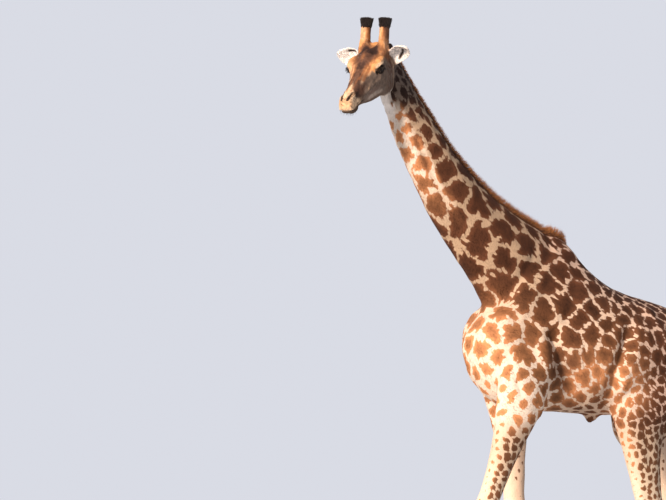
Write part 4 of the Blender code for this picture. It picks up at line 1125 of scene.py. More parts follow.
def paint_horns_and_ears(paint, web):
    """Orange ossicones, darker behind, with black ends, and white ears with a dark streak. One side of each
    ossicone is painted paler as painted light and the other darker as painted shade.
    """
    places, normals = paint.places, paint.normals
    horn = places.soft(web, *HORNS, rounds=12)
    paint.lay("orange", horn, 0.95)
    # how far a point faces the shaded side of its ossicone; the left ossicone lies more in shade
    toward_shade = 0.92 * normals[:, 0] - 0.36 * normals[:, 1] + 0.25 * paint.wobble
    toward_shade = toward_shade + np.where(paint.w > 0, 0.35, -0.25)
    # painted light: the lit side paler
    paint.lay("cream", horn * smoothstep(0.25, -0.25, toward_shade), 0.40)
    # painted shade: the shaded side rust; the umber is painted shade there and partly the ossicones' own
    # darker back
    paint.lay("rust", horn * smoothstep(-0.10, 0.40, toward_shade), 0.90)
    paint.lay("umber", horn * smoothstep(0.40, 0.80, np.maximum(toward_shade, -normals[:, 1])), 0.85)
    ends = places.soft(web, *HORN_ENDS, rounds=2)
    paint.lay("dark", smoothstep(0.30, 0.60, ends), 1.0)
    for s in SIDES:
        ear = places.on(f"ear_{s}")
        paint.lay("snow", ear, 1.0)
        root = places.soft(web, f"ear_{s}", rounds=5)
        paint.lay("ash", ear * (1 - smoothstep(0.55, 0.95, root)), 0.5)
        inside = smoothstep(0.0, 0.3, places.normals @ unit(turned_by_head(EAR_FACES[s])))
        paint.stroke("dark", EAR_STREAKS[s], 0.0105, where=ear * inside)


def painted(places, marks, web):
    """The hide's pale colour, patch colour and marking at each point, with the face on."""
    high = smoothstep(3.56, 3.78, places.height) * (1 - places.on(*HORN_ENDS))
    forward = -places.normals[:, 1] / np.hypot(*places.normals[:, :2].T).clip(0.05)
    throat = high * smoothstep(0.72, 0.97, forward) * smoothstep(-0.08, -0.16, places.head[:, 1])
    # partly painted light: the throat is snow white, brighter than its own white, so that it looks lit under
    # the head's shadow
    ground = mix(marks.ground, FACE["snow"], throat)
    mark = marks.mark - 0.020 * throat
    skull = on_skull(places)
    head = places.soft(web, "head", rounds=5) * skull
    face = np.clip(head + places.soft(web, *EARS, *HORNS, rounds=3), 0, 1)
    paint = FacePaint(places, mix(ground, FACE["cream"], np.clip(head, 0, 1)))
    on_head = places.on("head") * skull
    paint_skull(paint, on_head)
    paint_eyes(paint)
    paint_muzzle(paint, on_head)
    paint_horns_and_ears(paint, web)
    patch = mix(marks.patch, paint.colour, smoothstep(0.20, 0.70, face))
    ground = mix(ground, paint.colour, smoothstep(0.05, 0.55, face))
    tree = crest_tree()
    on_nape = np.flatnonzero(places.on("neck", "trunk", "head") * (np.abs(places.own[:, 0]) < 0.15))
    far = np.ones(len(places.points))
    far[on_nape] = [tree.find_nearest(Vector(point))[3] for point in places.points[on_nape]]
    nape = 1 - smoothstep(0.004, 0.026, far + 0.006 * paint.wobble)
    ground, patch = mix(ground, NAPE, nape), mix(patch, NAPE, nape)
    tail = places.on("tail") * smoothstep(1.70, 1.46, places.height)
    ground, patch = mix(ground, FACE["dark"], tail), mix(patch, FACE["dark"], tail)
    return ground, patch, mark


# ---- Finishes --------------------------------------------------------------------------------


def marked(done, shade=0.5):
    """The coat's colour: pale ground and darker patches with edges drawn out along the hair."""
    mark, tone, back = (done.attribute(name) for name in ("mark", "tone", "back"))
    ground, patch = (done.attribute(name, "Color") for name in ("ground", "patch"))
    down_hair = done.grain((300, 300, 62), 2.0)
    back_hair = done.grain((300, 62, 210), 2.0)
    hair = down_hair * (1 - back) + back_hair * back
    down_leaf = done.grain((46, 40, 15))
    back_leaf = done.grain((46, 16, 34))
    leaf = down_leaf * (1 - back) + back_leaf * back
    blotch = done.grain((7, 7, 7))
    edge = mark + (hair - 0.5) * 0.008 + (leaf - 0.5) * 0.026 + (shade - 0.5) * 0.004
    cover = edge.step(-0.0020, 0.0026)
    core = edge.step(0.004, 0.034)
    spot = done.tinted(patch, 1.26 - core * 0.52 + tone * 0.12 + (blotch - 0.5) * 0.45 + (leaf - 0.5) * 0.5)
    pale = done.tinted(ground, 0.88 + blotch * 0.24)
    return done.blend(pale, spot, cover), hair, leaf


def hide_finish():
    """Short hair over the skin: pale ground, darker patches, all from the piece's attributes."""
    done = Finish("hide", Specular_IOR_Level=0.14)
    colour, hair, leaf = marked(done)
    colour = done.tinted(colour, 0.68 + hair * 0.40 + leaf * 0.20)
    done.bumped(hair * 0.75 + leaf * 0.5, 0.0009)
    return done.finish(colour, 0.66 + hair * 0.16)


def floor_finish():
    """A plain pale studio floor."""
    done = Finish("floor", Roughness=1.0, Specular_IOR_Level=0.0)
    mottle = done.grain((0.8, 0.8, 0.8))
    return done.finish(done.tinted(rgb((0.64, 0.64, 0.65)), 0.96 + mottle * 0.08))


# ---- Eyes and hooves -------------------------------------------------------------------------

EYE_RINGS, EYE_SPOKES = 56, 64
CORNEA = 0.0016  # how far the clear front of the eye stands out
IRIS = 0.0175  # radius of the coloured ring
PUPIL = (0.0125, 0.0062)  # half sizes of the long pupil
EYE_GAZE = (0.30, -0.06, 0.95)  # the way the left eye looks: u, v, w


def eye_mesh(side):
    """A ball with a raised cornea, whose rings run round the way it looks."""
    middle = box_middle(f"eye_{side}")
    u, v, w = EYE_GAZE
    gaze = unit(turned_by_head((u, v, w * SIDES[side])))
    level = unit(np.cross(turned_by_head((0, 1, 0)), gaze))
    up = np.cross(gaze, level)
    verts, faces, iris, pupil = [], [], [], []
    for i in range(EYE_RINGS + 1):
        polar = math.pi * (i / EYE_RINGS) ** 1.25
        for j in range(EYE_SPOKES if 0 < i < EYE_RINGS else 1):
            turn = 2 * math.pi * j / EYE_SPOKES
            x, y = math.sin(polar) * math.cos(turn), math.sin(polar) * math.sin(turn)
            radius = EYE_RADIUS + CORNEA * float(swell(polar, 0.50))
            verts.append(middle + radius * (gaze * math.cos(polar) + level * x + up * y))
            iris.append(EYE_RADIUS * polar / IRIS)
            pupil.append(math.hypot(EYE_RADIUS * x / PUPIL[0], EYE_RADIUS * y / PUPIL[1]))
    start = [0] + [1 + EYE_SPOKES * (i - 1) for i in range(1, EYE_RINGS + 1)]
    for i in range(EYE_RINGS):
        for j in range(EYE_SPOKES):
            k = (j + 1) % EYE_SPOKES
            if i == 0:
                faces.append((0, start[1] + j, start[1] + k))
            elif i == EYE_RINGS - 1:
                faces.append((start[i] + j, start[i + 1], start[i] + k))
            else:
                faces.append((start[i] + j, start[i + 1] + j, start[i + 1] + k, start[i] + k))
    mesh = bpy.data.meshes.new(f"eyeball_{side}")
    mesh.from_pydata([tuple(p) for p in verts], [], faces)
    bm = bmesh.new()
    bm.from_mesh(mesh)
    bmesh.ops.recalc_face_normals(bm, faces=bm.faces)
    bm.to_mesh(mesh)
    bm.free()
    store(mesh, "iris", np.array(iris))
    store(mesh, "pupil", np.array(pupil))
    return mesh


def eye_finish():
    """A dark brown eye with a long pupil, under a wet clear coat."""
    done = Finish("eye", Roughness=0.3, Specular_IOR_Level=0.10, Coat_Weight=0.16, Coat_Roughness=0.03)
    iris, pupil = done.attribute("iris"), done.attribute("pupil")
    fibre = done.grain((420, 420, 420), 2.0)
    brown = done.blend(rgb((0.010, 0.005, 0.003)), rgb((0.032, 0.014, 0.007)), fibre)
    ringed = done.blend(brown, rgb((0.008, 0.005, 0.004)), iris.step(0.72, 1.0))
    white = done.blend(rgb((0.012, 0.008, 0.006)), rgb((0.050, 0.032, 0.024)), (iris - 1.3).step(0.0, 0.9))
    seen = done.blend(ringed, white, iris.step(0.98, 1.10))
    return done.finish(done.blend(rgb((0.002, 0.002, 0.003)), seen, pupil.step(0.90, 1.05)))


HOOVES = tuple(
    f"hoof_{end}_{side}_{claw}" for end in ("front", "hind") for side in SIDES for claw in ("outer", "inner")
)
GROWTH_RING = 0.0075  # from one growth ring of the horn to the next
HOOF_SOFTNESS = 3  # levels of subdivision


def hoof_mesh(node):
    """A claw with rounded walls, a flat sole and rings of growth."""
    bm = merged_copy(node)
    low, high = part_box(node)
    bmesh.ops.dissolve_limit(bm, angle_limit=math.radians(1), verts=bm.verts, edges=bm.edges)
    bmesh.ops.triangulate(bm, faces=[face for face in bm.faces if len(face.verts) > 4])
    crease = bm.edges.layers.float.new("crease_edge")
    for edge in bm.edges:
        if len(edge.link_faces) == 2 and edge.calc_face_angle() > math.radians(50):
            edge[crease] = 0.82
    obj = new_object(node + "_soft", mesh_from(bm, node))
    soft = obj.modifiers.new("round", "SUBSURF")
    soft.levels = soft.render_levels = HOOF_SOFTNESS
    mesh = evaluated(obj)
    points = points_of(mesh)
    normals = normals_of(mesh)
    run = (points[:, 2] - low.z) / (high.z - low.z)
    wall = smoothstep(0.75, 0.35, np.abs(normals[:, 2])) * smoothstep(0.03, 0.15, run)
    ring = np.sin(2 * math.pi * points[:, 2] / GROWTH_RING + 2.5 * noise_at(points, 0.05, 71))
    wear = noise_at(points, 0.03, 72) * 0.0009
    points += normals * ((ring * 0.00035 + wear) * wall - 0.0004)[:, None]
    points[:, 2] = np.maximum(points[:, 2], low.z)
    set_points(mesh, points)
    return mesh


def hoof_finish():
    """Dark horn with growth rings, paler and dusty towards the floor."""
    done = Finish("hoof", Specular_IOR_Level=0.35)
    height = done.node("ShaderNodeSeparateXYZ", None, {0: done.place((1, 1, 1))}, "Z")
    streak = done.grain((90, 90, 12), 4.0)
    dust = done.grain((24, 24, 24), 4.0)
    rings = done.grain((6, 6, 230), 2.0)
    horn = done.blend(rgb((0.042, 0.030, 0.024)), rgb((0.135, 0.100, 0.075)), streak)
    low = 1 - height.step(0.004, 0.075)
    dusty = done.blend(horn, rgb((0.30, 0.245, 0.19)), (low * 0.6 + dust * 0.5 - 0.25).step(0.05, 0.75))
    done.bumped(rings * 0.8 + streak * 0.3, 0.0008)
    return done.finish(dusty, 0.42 + dust * 0.35)


# ---- Hair ------------------------------------------------------------------------------------

TUFT_PATCH = 0.003  # how much of the OFBake map one tuft covers
ATLAS = 4  # the map is parted into this many columns and rows, a cell for each part
CELL_MARGIN = 0.005  # kept free round each cell
LEG_APART = 0.2  # from the animal's middle to a leg's own line


def around(points, middle, along, up):
    """Angle round an axis as a share of a turn, and metres along it."""
    way = points - middle
    run = way @ along
    way = way - run[..., None] * along
    across = np.cross(along, up)
    return np.arctan2((way * across).sum(-1), (way * up).sum(-1)) / (2 * math.pi) + 0.5, run


def unwrapped(points, parts):
    """The skin's own unwrap: every part is slit along one line and rolled out into a cell."""
    found = np.zeros((len(points), 2))
    own = points - BODY_AT
    for index, name in enumerate(PARTS):
        mine = parts == index
        if not mine.any():
            continue
        here = own[mine]
        middle = here.mean(0)
        if name == "trunk":
            turn, run = around(here, (0, middle[1], 2.1), np.array((0, 1.0, 0)), np.array((0, 0, -1.0)))
        elif name == "neck":
            turn, run = around(here, (0, *NECK_LINE[0]), NECK_UP, np.array((1.0, 0, 0)))
        elif name in LIMBS or name == "tail":
            joints = np.array(LEG_JOINTS.get(name, TAIL_LINE))
            order = np.argsort(joints[:, 1])
            y = np.interp(here[:, 2], joints[order, 1], joints[order, 0])
            x = middle[0] if name == "tail" else SIDES[name.split("_")[1]] * LEG_APART
            turn = np.arctan2(here[:, 0] - x, here[:, 1] - y) / (2 * math.pi) + 0.5
            run = here[:, 2]
        else:
            along, across = (0, 1) if name == "head" else (1, 0)
            local = to_head(points[mine])
            core = local.mean(0)
            turn = np.arctan2(local[:, 2] - core[2], local[:, across] - core[across]) / (2 * math.pi) + 0.5
            run = local[:, along]
        run = (run - run.min()) / max(np.ptp(run), 1e-6)
        cell = np.array((index % ATLAS, index // ATLAS)) / ATLAS
        found[mine] = cell + CELL_MARGIN + np.stack([turn, run], 1) * (1 / ATLAS - 3 * CELL_MARGIN)
    return found


class Skin:
    """The finished skin as ground to plant hair in."""

    def __init__(self, mesh, web, places, fields):
        mesh.calc_loop_triangles()
        corners = np.empty(len(mesh.loop_triangles) * 3, np.int32)
        mesh.loop_triangles.foreach_get("vertices", corners)
        self.corners = corners.reshape(-1, 3)
        self.web, self.places, self.fields = web, places, fields
        self.points = places.points
        a, b, c = (self.points[self.corners[:, i]] for i in range(3))
        self.area = np.linalg.norm(np.cross(b - a, c - a), axis=1) / 2
        self.uv = unwrapped(self.points, places.part)
        self.tree = BVHTree.FromPolygons(self.points.tolist(), self.corners.tolist())
        self.lie = self.lie_of_the_coat()

    def lie_of_the_coat(self):
        """The way the hair points, along the skin."""
        places, normals = self.places, self.places.normals
        ways = np.zeros((len(self.points), 3))
        for names, way in (
            (("trunk",), (0, 0.86, -0.5)),
            (("neck",), -NECK_UP),
            ((*LIMBS, "tail"), (0, 0.08, -1)),
            (("head",), turned_by_head((-0.92, 0.05, 0.0))),
            (HORNS, turned_by_head((-0.5, 0.86, 0))),
            (("ear_left",), turned_by_head(EAR_TIPS["left"])),
            (("ear_right",), turned_by_head(EAR_TIPS["right"])),
        ):
            ways[places.on(*names) > 0] = way
        ways[places.on("head") * (1 - on_skull(places)) > 0.5] = -NECK_UP
        ways = self.web.smoothed(ways, 14, keep_size=False)
        ways = ways + np.stack([noise_at(self.points, 0.09, 51 + i) for i in range(3)], 1) * 0.22
        return unit(ways - normals * (ways * normals).sum(1)[:, None])

    def pick(self, rng, count, weight):
        """Random places on the skin, thicker where the weight is higher."""
        chance = self.area * weight[self.corners].mean(1)
        chosen = rng.choice(len(self.area), count, p=chance / chance.sum())
        shares = rng.dirichlet((1, 1, 1), count)
        return self.corners[chosen], shares

    def read(self, values, picked):
        corners, shares = picked
        if values.ndim == 1:
            return (values[corners] * shares).sum(1)
        return (values[corners] * shares[..., None]).sum(1)

    def roots(self, picked):
        """What every tuft takes from the skin at its root."""
        corners, shares = picked
        nearest = corners[np.arange(len(corners)), shares.argmax(1)]
        row = {name: self.read(values, picked) for name, values in self.fields.items()}
        row["place"] = self.read(self.points, picked)
        row["out"] = unit(self.read(self.places.normals, picked))
        row["lie"] = unit(self.read(self.lie, picked))
        row["uv"] = self.uv[nearest]
        return row


def tuft_tree():
    """Geometry nodes: one tapered blade on each root, set along its aim and bent by its sag."""
    group = bpy.data.node_groups.new("tufts", "GeometryNodeTree")
    for name, way, kind in (
        ("Geometry", "INPUT", "Geometry"),
        ("Segments", "INPUT", "Int"),
        ("Fullness", "INPUT", "Float"),
        ("Flatness", "INPUT", "Float"),
        ("Material", "INPUT", "Material"),
        ("Geometry", "OUTPUT", "Geometry"),
    ):
        group.interface.new_socket(name, in_out=way, socket_type="NodeSocket" + kind)
    tree = Tree(group)

    def named(name, kind="FLOAT"):
        made = tree.node("GeometryNodeInputNamedAttribute", {"data_type": kind}, {"Name": name})
        return Value(tree, next(socket for socket in made.socket.node.outputs if socket.enabled))

    def vector(x, y, z=0.0):
        return tree.node("ShaderNodeCombineXYZ", None, {0: x, 1: y, 2: z})

    def scaled(value, scale):
        return tree.node("ShaderNodeVectorMath", {"operation": "SCALE"}, {0: value, "Scale": scale})

    start = tree.node("NodeGroupInput")
    blade = tree.node("GeometryNodeMeshCone", {"fill_type": "NGON"}, {
        "Vertices": 3, "Side Segments": start.other("Segments"),
        "Radius Top": 0.0, "Radius Bottom": 0.5, "Depth": 1.0,
    })
    across = tree.node("ShaderNodeSeparateXYZ", None, {0: tree.node("GeometryNodeInputPosition")})
    along = across.other("Z")
    settings = {"data_type": "FLOAT", "domain": "POINT"}
    for name, value in (("along", along), ("across", across)):
        inputs = {"Geometry": blade, "Name": name, "Value": value}
        blade = tree.node("GeometryNodeStoreNamedAttribute", settings, inputs)
    full = along * start.other("Fullness") + 1.0
    shape = vector(across * full, across.other("Y") * (full * start.other("Flatness")), along)
    blade = tree.node("GeometryNodeSetPosition", None, {"Geometry": blade, "Position": shape})
    turn = tree.node("FunctionNodeAxesToRotation", {"primary_axis": "Z", "secondary_axis": "Y"}, {
        0: named("aim", "FLOAT_VECTOR"), 1: named("out", "FLOAT_VECTOR"),
    })
    wide = named("wide")
    planted = tree.node("GeometryNodeInstanceOnPoints", None, {
        "Points": start, "Instance": blade, "Rotation": turn, "Scale": vector(wide, wide, named("long")),
    })
    real = tree.node("GeometryNodeRealizeInstances", None, {"Geometry": planted})
    bend = scaled(named("sag", "FLOAT_VECTOR"), named("along") ** 1.8)
    bent = tree.node("GeometryNodeSetPosition", None, {"Geometry": real, "Offset": bend})
    patch = scaled(vector(named("across"), named("along")), TUFT_PATCH)
    inputs = {0: patch, 1: named("root_uv", "FLOAT_VECTOR")}
    patch = tree.node("ShaderNodeVectorMath", {"operation": "ADD"}, inputs)
    settings = {"data_type": "FLOAT2", "domain": "CORNER"}
    inputs = {"Geometry": bent, "Name": "OFBake"}
    mapped = tree.node("GeometryNodeStoreNamedAttribute", settings, inputs)
    tree.put(next(s for s in mapped.socket.node.inputs if s.name == "Value" and s.enabled), patch)
    inputs = {"Geometry": mapped, "Material": start.other("Material")}
    dressed = tree.node("GeometryNodeSetMaterial", None, inputs)
    tree.put(group.nodes.new("NodeGroupOutput").inputs[0], dressed)
    return group


def plant(name, row, material, segments=3, fullness=0.6, flatness=0.45):
    """Grows a tuft on every root of a row and returns the piece as a plain mesh."""
    mesh = bpy.data.meshes.new(name + "_roots")
    mesh.from_pydata(row["place"].tolist(), [], [])
    for key in ("aim", "out", "sag"):
        store(mesh, key, row[key], "VECTOR")
    store(mesh, "root_uv", np.pad(row["uv"], ((0, 0), (0, 1))), "VECTOR")
    for key in ("long", "wide", "mark", "tone", "back", "shade", "ground", "patch"):
        store(mesh, key, row[key])
    roots = new_object(name + "_roots", mesh)
    tree = bpy.data.node_groups.get("tufts") or tuft_tree()
    grow = roots.modifiers.new("tufts", "NODES")
    grow.node_group = tree
    values = {"Segments": segments, "Fullness": fullness, "Flatness": flatness, "Material": material}
    for item in tree.interface.items_tree:
        if item.in_out == "INPUT" and item.name in values:
            grow[item.identifier] = values[item.name]
    grown = evaluated(roots)
    for key in ("aim", "out", "sag", "root_uv", "long", "wide", "across"):
        grown.attributes.remove(grown.attributes[key])
    triangles = sum(len(face.vertices) - 2 for face in grown.polygons)
    if triangles >= MOST_TRIANGLES or not triangles:
        raise RuntimeError(f"{name} has {triangles} triangles")
    return new_object(name, grown)


def jitter(rng, count, low, high):
    return rng.uniform(low, high, count)


def coat_row(skin, rng, count, weight, lift, long, wide):
    """Short tufts that lie along the skin."""
    row = skin.roots(skin.pick(rng, count, weight))
    spread = rng.normal(0, 0.10, (count, 3))
    spread -= row["out"] * (spread * row["out"]).sum(1)[:, None]
    lift = lift * jitter(rng, count, 0.6, 1.4)[:, None]
    row["aim"] = unit(row["lie"] + row["out"] * lift + spread)
    size = jitter(rng, count, 0.7, 1.25)
    row["long"] = long * size * row["length"]
    row["wide"] = wide * jitter(rng, count, 0.75, 1.3) * np.sqrt(row["length"])
    row["sag"] = -row["out"] * (row["long"] * lift[:, 0] * 0.45)[:, None]
    row["place"] = row["place"] - row["out"] * 0.0002
    row["shade"] = jitter(rng, count, 0.0, 1.0)
    return row


def coat_finish():
    """Tufts take the skin's own markings."""
    done = Finish("coat", Specular_IOR_Level=0.14, Roughness=0.72)
    shade, along = done.attribute("shade"), done.attribute("along")
    colour = marked(done, shade)[0]
    return done.finish(done.tinted(colour, 0.74 + shade * 0.24 + along * 0.12))


HAIR = {
    # finish: colours of the root and the tip, roughness, where the change ends along the hair
    "mane_hair": ((0.130, 0.052, 0.026), (0.64, 0.265, 0.085), 0.5, 0.90),
    "tail_hair": ((0.018, 0.012, 0.010), (0.050, 0.030, 0.020), 0.42, 0.95),
    "horn_hair": ((0.012, 0.010, 0.010), (0.032, 0.022, 0.018), 0.5, 0.95),
    "lash": ((0.010, 0.007, 0.006), (0.020, 0.013, 0.010), 0.4, 0.95),
}
TIP_FROM = 0.25  # where the change of colour begins
HAIR_SEEDS = {"mane": 101, "tail": 102, "horn": 103, "ear": 104, "lash": 105, "whisker": 106, "coat": 110}


def dice(kind, number=0):
    """The random numbers of one kind of hair."""
    return np.random.default_rng(HAIR_SEEDS[kind] + number)


def hair_finish(name):
    """Long hair that changes colour from its root to its tip."""
    root, tip, rough, end = HAIR[name]
    done = Finish(name, Roughness=rough, Specular_IOR_Level=0.35)
    along, shade = done.attribute("along"), done.attribute("shade")
    colour = done.blend(rgb(root), rgb(tip), along.step(TIP_FROM, end))
    strand = done.grain((260, 260, 60), 2.0)
    done.bumped(strand, 0.0006)
    return done.finish(done.tinted(colour, 0.70 + shade * 0.45 + strand * 0.15))


def nape_row(skin, rng, count):
    """The mane: hair that stands up along the nape as high as the CAD crest."""
    tree, places = crest_tree(), skin.places
    low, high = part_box("mane")
    weight = (np.abs(places.points[:, 0] - (low.x + high.x) / 2) < 0.026).astype(float)
    weight *= (places.points[:, 1] > low.y - 0.02) & (places.points[:, 1] < high.y + 0.02)
    weight *= (places.points[:, 2] > low.z - 0.02) & (places.normals[:, 2] > 0.05)
    row = skin.roots(skin.pick(rng, count * 2, weight))
    out = row["out"].copy()
    out[:, 0] *= 0.25
    out = unit(out)
    height = np.zeros(len(out))
    for i, (place, way) in enumerate(zip(row["place"], out)):
        hit = tree.ray_cast(Vector(place + way * 0.20), Vector(-way), 0.20)[0]
        if hit is not None:
            height[i] = (np.array(hit) - place) @ way
    good = np.flatnonzero(height > 0.008)[:count]
    row = {key: value[good] for key, value in row.items()}
    out, height, count = out[good], height[good], len(good)
    back = -NECK_UP
    lean = back * jitter(rng, count, 0.12, 0.62)[:, None]
    row["aim"] = unit(out + lean + rng.normal(0, 0.07, (count, 3)) * (0.9, 1, 1))
    row["long"] = height * jitter(rng, count, 0.82, 1.14)
    row["wide"] = jitter(rng, count, 0.0045, 0.0085)
    row["sag"] = back * (row["long"] * jitter(rng, count, -0.05, 0.30))[:, None]
    row["out"] = unit(np.cross(row["aim"], (1.0, 0, 0)) + rng.normal(0, 0.5, (count, 3)))
    row["shade"] = jitter(rng, count, 0, 1)
    return row


def tail_row(skin, rng, count):
    """The tail's end: long locks that hang from the dock's lowest hand."""
    places = skin.places
    low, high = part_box("tail_tuft")
    span = high.z - low.z
    weight = places.on("tail") * (places.height < high.z + 0.02)
    row = skin.roots(skin.pick(rng, count, weight))
    top = row["place"][:, 2]
    row["long"] = np.minimum(span * jitter(rng, count, 0.45, 0.97), top - low.z - 0.01)
    spread = row["out"] * (1, 1, 0)
    row["aim"] = unit(np.array((0, 0, -1.0)) + spread * 0.12 + rng.normal(0, 0.03, (count, 3)))
    drift = (box_middle("tail_tuft") - row["place"].mean(0)) * (1, 1, 0)
    row["sag"] = drift * 1.1 + rng.normal(0, 0.016, (count, 3)) * (1, 1, 0) - spread * 0.035
    row["wide"] = jitter(rng, count, 0.006, 0.012)
    row["shade"] = jitter(rng, count, 0, 1)
    return row


def horn_row(skin, rng, count, side):
    """The black ring of hair round the end of an ossicone, worn short on top."""
    up = unit(box_middle(f"ossicone_tuft_{side}") - box_middle(f"ossicone_{side}"))
    weight = skin.places.soft(skin.web, f"ossicone_tuft_{side}", rounds=2)
    row = skin.roots(skin.pick(rng, count, np.clip(weight, 0, 1) ** 2))
    top = np.clip(row["out"] @ up, 0, 1)
    row["aim"] = unit(up * mix(1.0, 0.6, top)[:, None] + row["out"] * 0.42 + rng.normal(0, 0.12, (count, 3)))
    room = np.clip(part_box(f"ossicone_tuft_{side}")[1].z - row["place"][:, 2], 0.004, 0.03)
    row["long"] = np.minimum(mix(0.024, 0.007, top), room + 0.005) * jitter(rng, count, 0.75, 1.1)
    row["wide"] = jitter(rng, count, 0.0026, 0.0046)
    row["sag"] = -row["out"] * (row["long"] * 0.15)[:, None]
    row["shade"] = jitter(rng, count, 0, 1)
    return row


def ear_row(skin, rng, count, side):
    """Long pale hair at the ear's rim and inside it, short on its back."""
    row = skin.roots(skin.pick(rng, count, skin.places.on(f"ear_{side}")))
    along, face = turned_by_head(EAR_TIPS[side]), turned_by_head(EAR_FACES[side])
    inside = smoothstep(-0.1, 0.6, row["out"] @ face)
    rim = 1 - np.abs(row["out"] @ unit(face))
    flat = unit(along - row["out"] * (row["out"] @ along)[:, None])
    lift = mix(0.05, 0.09, inside)[:, None]
    row["aim"] = unit(flat + row["out"] * lift + rng.normal(0, 0.07, (count, 3)))
    row["long"] = (0.0075 + 0.004 * inside + 0.003 * rim) * jitter(rng, count, 0.6, 1.2)
    row["wide"] = jitter(rng, count, 0.0012, 0.0022)
    row["sag"] = -row["out"] * (row["long"] * 0.06)[:, None]
    row["shade"] = jitter(rng, count, 0, 1)
    return row


def lash_row(skin, rng, count, side):
    """Lashes from the upper lid, long towards its back corner."""
    a, b, height = around_eye(skin.places.points, side)
    outside = eye_opening(a, b)
    weight = eye_zone(a, b, height) * (outside > 0.0) * (outside < 0.004) * (b > -0.003)
    row = skin.roots(skin.pick(rng, count, weight))
    local = to_head(row["place"]) - to_head(box_middle(f"eye_{side}"))
    share = smoothstep(-0.03, 0.03, -local[:, 0])
    ahead = turned_by_head((0.35, -0.28, 0.80 * SIDES[side]))
    fan = turned_by_head((1, 0, 0)) * (local[:, :1] * 12)
    row["aim"] = unit(ahead + fan + rng.normal(0, 0.06, (count, 3)))
    row["long"] = mix(0.020, 0.028, share) * jitter(rng, count, 0.7, 1.1)
    row["wide"] = jitter(rng, count, 0.0010, 0.0017)
    row["sag"] = turned_by_head((0.2, -0.9, 0)) * (row["long"] * 0.35)[:, None]
    row["shade"] = jitter(rng, count, 0, 0.6)
    return row


def whisker_row(skin, rng, count):
    """Sparse bristles on the lips and chin."""
    u, v = skin.places.head.T[:2]
    weight = skin.places.on("head") * smoothstep(0.53, 0.62, u) * smoothstep(0.0, -0.05, v)
    row = skin.roots(skin.pick(rng, count, weight))
    row["aim"] = unit(row["out"] + turned_by_head((0.2, -0.7, 0)) + rng.normal(0, 0.15, (count, 3)))
    row["long"] = jitter(rng, count, 0.008, 0.024)
    row["wide"] = jitter(rng, count, 0.0007, 0.0012)
    row["sag"] = np.array((0, 0, -0.25)) * row["long"][:, None]
    row["shade"] = jitter(rng, count, 0, 1)
    return row


# ---- What a user may change ------------------------------------------------------------------


class GiraffeSkinSizes(bpy.types.PropertyGroup):
    body_grid: bpy.props.FloatProperty(
        name="Body grid", description="Size of the skin's mesh on the body", default=0.0165, unit="LENGTH"
    )
    head_grid: bpy.props.FloatProperty(
        name="Head grid", description="Size of the skin's mesh on the head", default=0.0062, unit="LENGTH"
    )
    smoothing: bpy.props.IntProperty(
        name="Smoothing", description="Rounds of smoothing over the skin", default=16, min=0
    )
    patch_size: bpy.props.FloatProperty(
        name="Patch size", description="Size of the markings, as a share", default=1.0, subtype="FACTOR"
    )
    seed: bpy.props.IntProperty(name="Seed", description="Picks another set of markings", default=11)


class GiraffeHairSizes(bpy.types.PropertyGroup):
    mane: bpy.props.IntProperty(name="Mane", description="Tufts in the mane", default=6500, min=1)
    tail: bpy.props.IntProperty(name="Tail", description="Locks at the tail's end", default=420, min=1)
    horn: bpy.props.IntProperty(name="Ossicones", description="Tufts on each end", default=1500, min=1)
    ear: bpy.props.IntProperty(name="Ears", description="Tufts on each ear", default=4500, min=1)
    lash: bpy.props.IntProperty(name="Lashes", description="Lashes on each eye", default=150, min=1)
    whisker: bpy.props.IntProperty(name="Bristles", description="Bristles on the lips", default=160, min=1)
    coat: bpy.props.IntProperty(name="Coat", description="Tufts in each piece of coat", default=40000, min=1)
    lift: bpy.props.FloatProperty(name="Lift", description="How far the coat stands off", default=0.08)


class GiraffeStageSizes(bpy.types.PropertyGroup):
    distance: bpy.props.FloatProperty(
        name="Camera distance", description="From the animal's middle", default=20.0, unit="LENGTH"
    )
    height: bpy.props.FloatProperty(
        name="Camera height", description="Above the floor", default=1.3, unit="LENGTH"
    )
    aim_ahead: bpy.props.FloatProperty(
        name="Aim ahead", description="From the withers to the view's middle", default=1.5586, unit="LENGTH"
    )
    aim_height: bpy.props.FloatProperty(
        name="Aim height", description="Of the view's middle above the floor", default=2.8552, unit="LENGTH"
    )
    view_width: bpy.props.FloatProperty(
        name="View width", description="Seen at the view's middle", default=4.5931, unit="LENGTH"
    )
    azimuth: bpy.props.FloatProperty(
        name="Camera azimuth", description="Round from the animal's front to its left",
        default=math.radians(55), subtype="ANGLE",
    )
    warm: bpy.props.FloatVectorProperty(
        name="Key light", description="Colour of the low key light",
        default=(1.0, 0.79, 0.64), subtype="COLOR",
    )
    key_azimuth: bpy.props.FloatProperty(
        name="Key azimuth", description="Round from the animal's front to its left",
        default=math.radians(24), subtype="ANGLE",
    )
    key_height: bpy.props.FloatProperty(
        name="Key height", description="Above the level", default=math.radians(20), subtype="ANGLE"
    )
    key_strength: bpy.props.FloatProperty(
        name="Key strength", description="Of the key light, in watts on a square metre", default=5.7
    )
    key_spread: bpy.props.FloatProperty(
        name="Key spread", description="Width of the key light, for soft shadows",
        default=math.radians(7.6), subtype="ANGLE",
    )
    ambient: bpy.props.FloatProperty(
        name="Ambient", description="Strength of the studio's own light", default=0.48
    )
    backdrop: bpy.props.FloatProperty(
        name="Backdrop", description="Brightness behind the animal", default=0.87
    )


# ---- The pieces ------------------------------------------------------------------------------

SHARED = {}  # the skin's mesh data, which the hair grows from


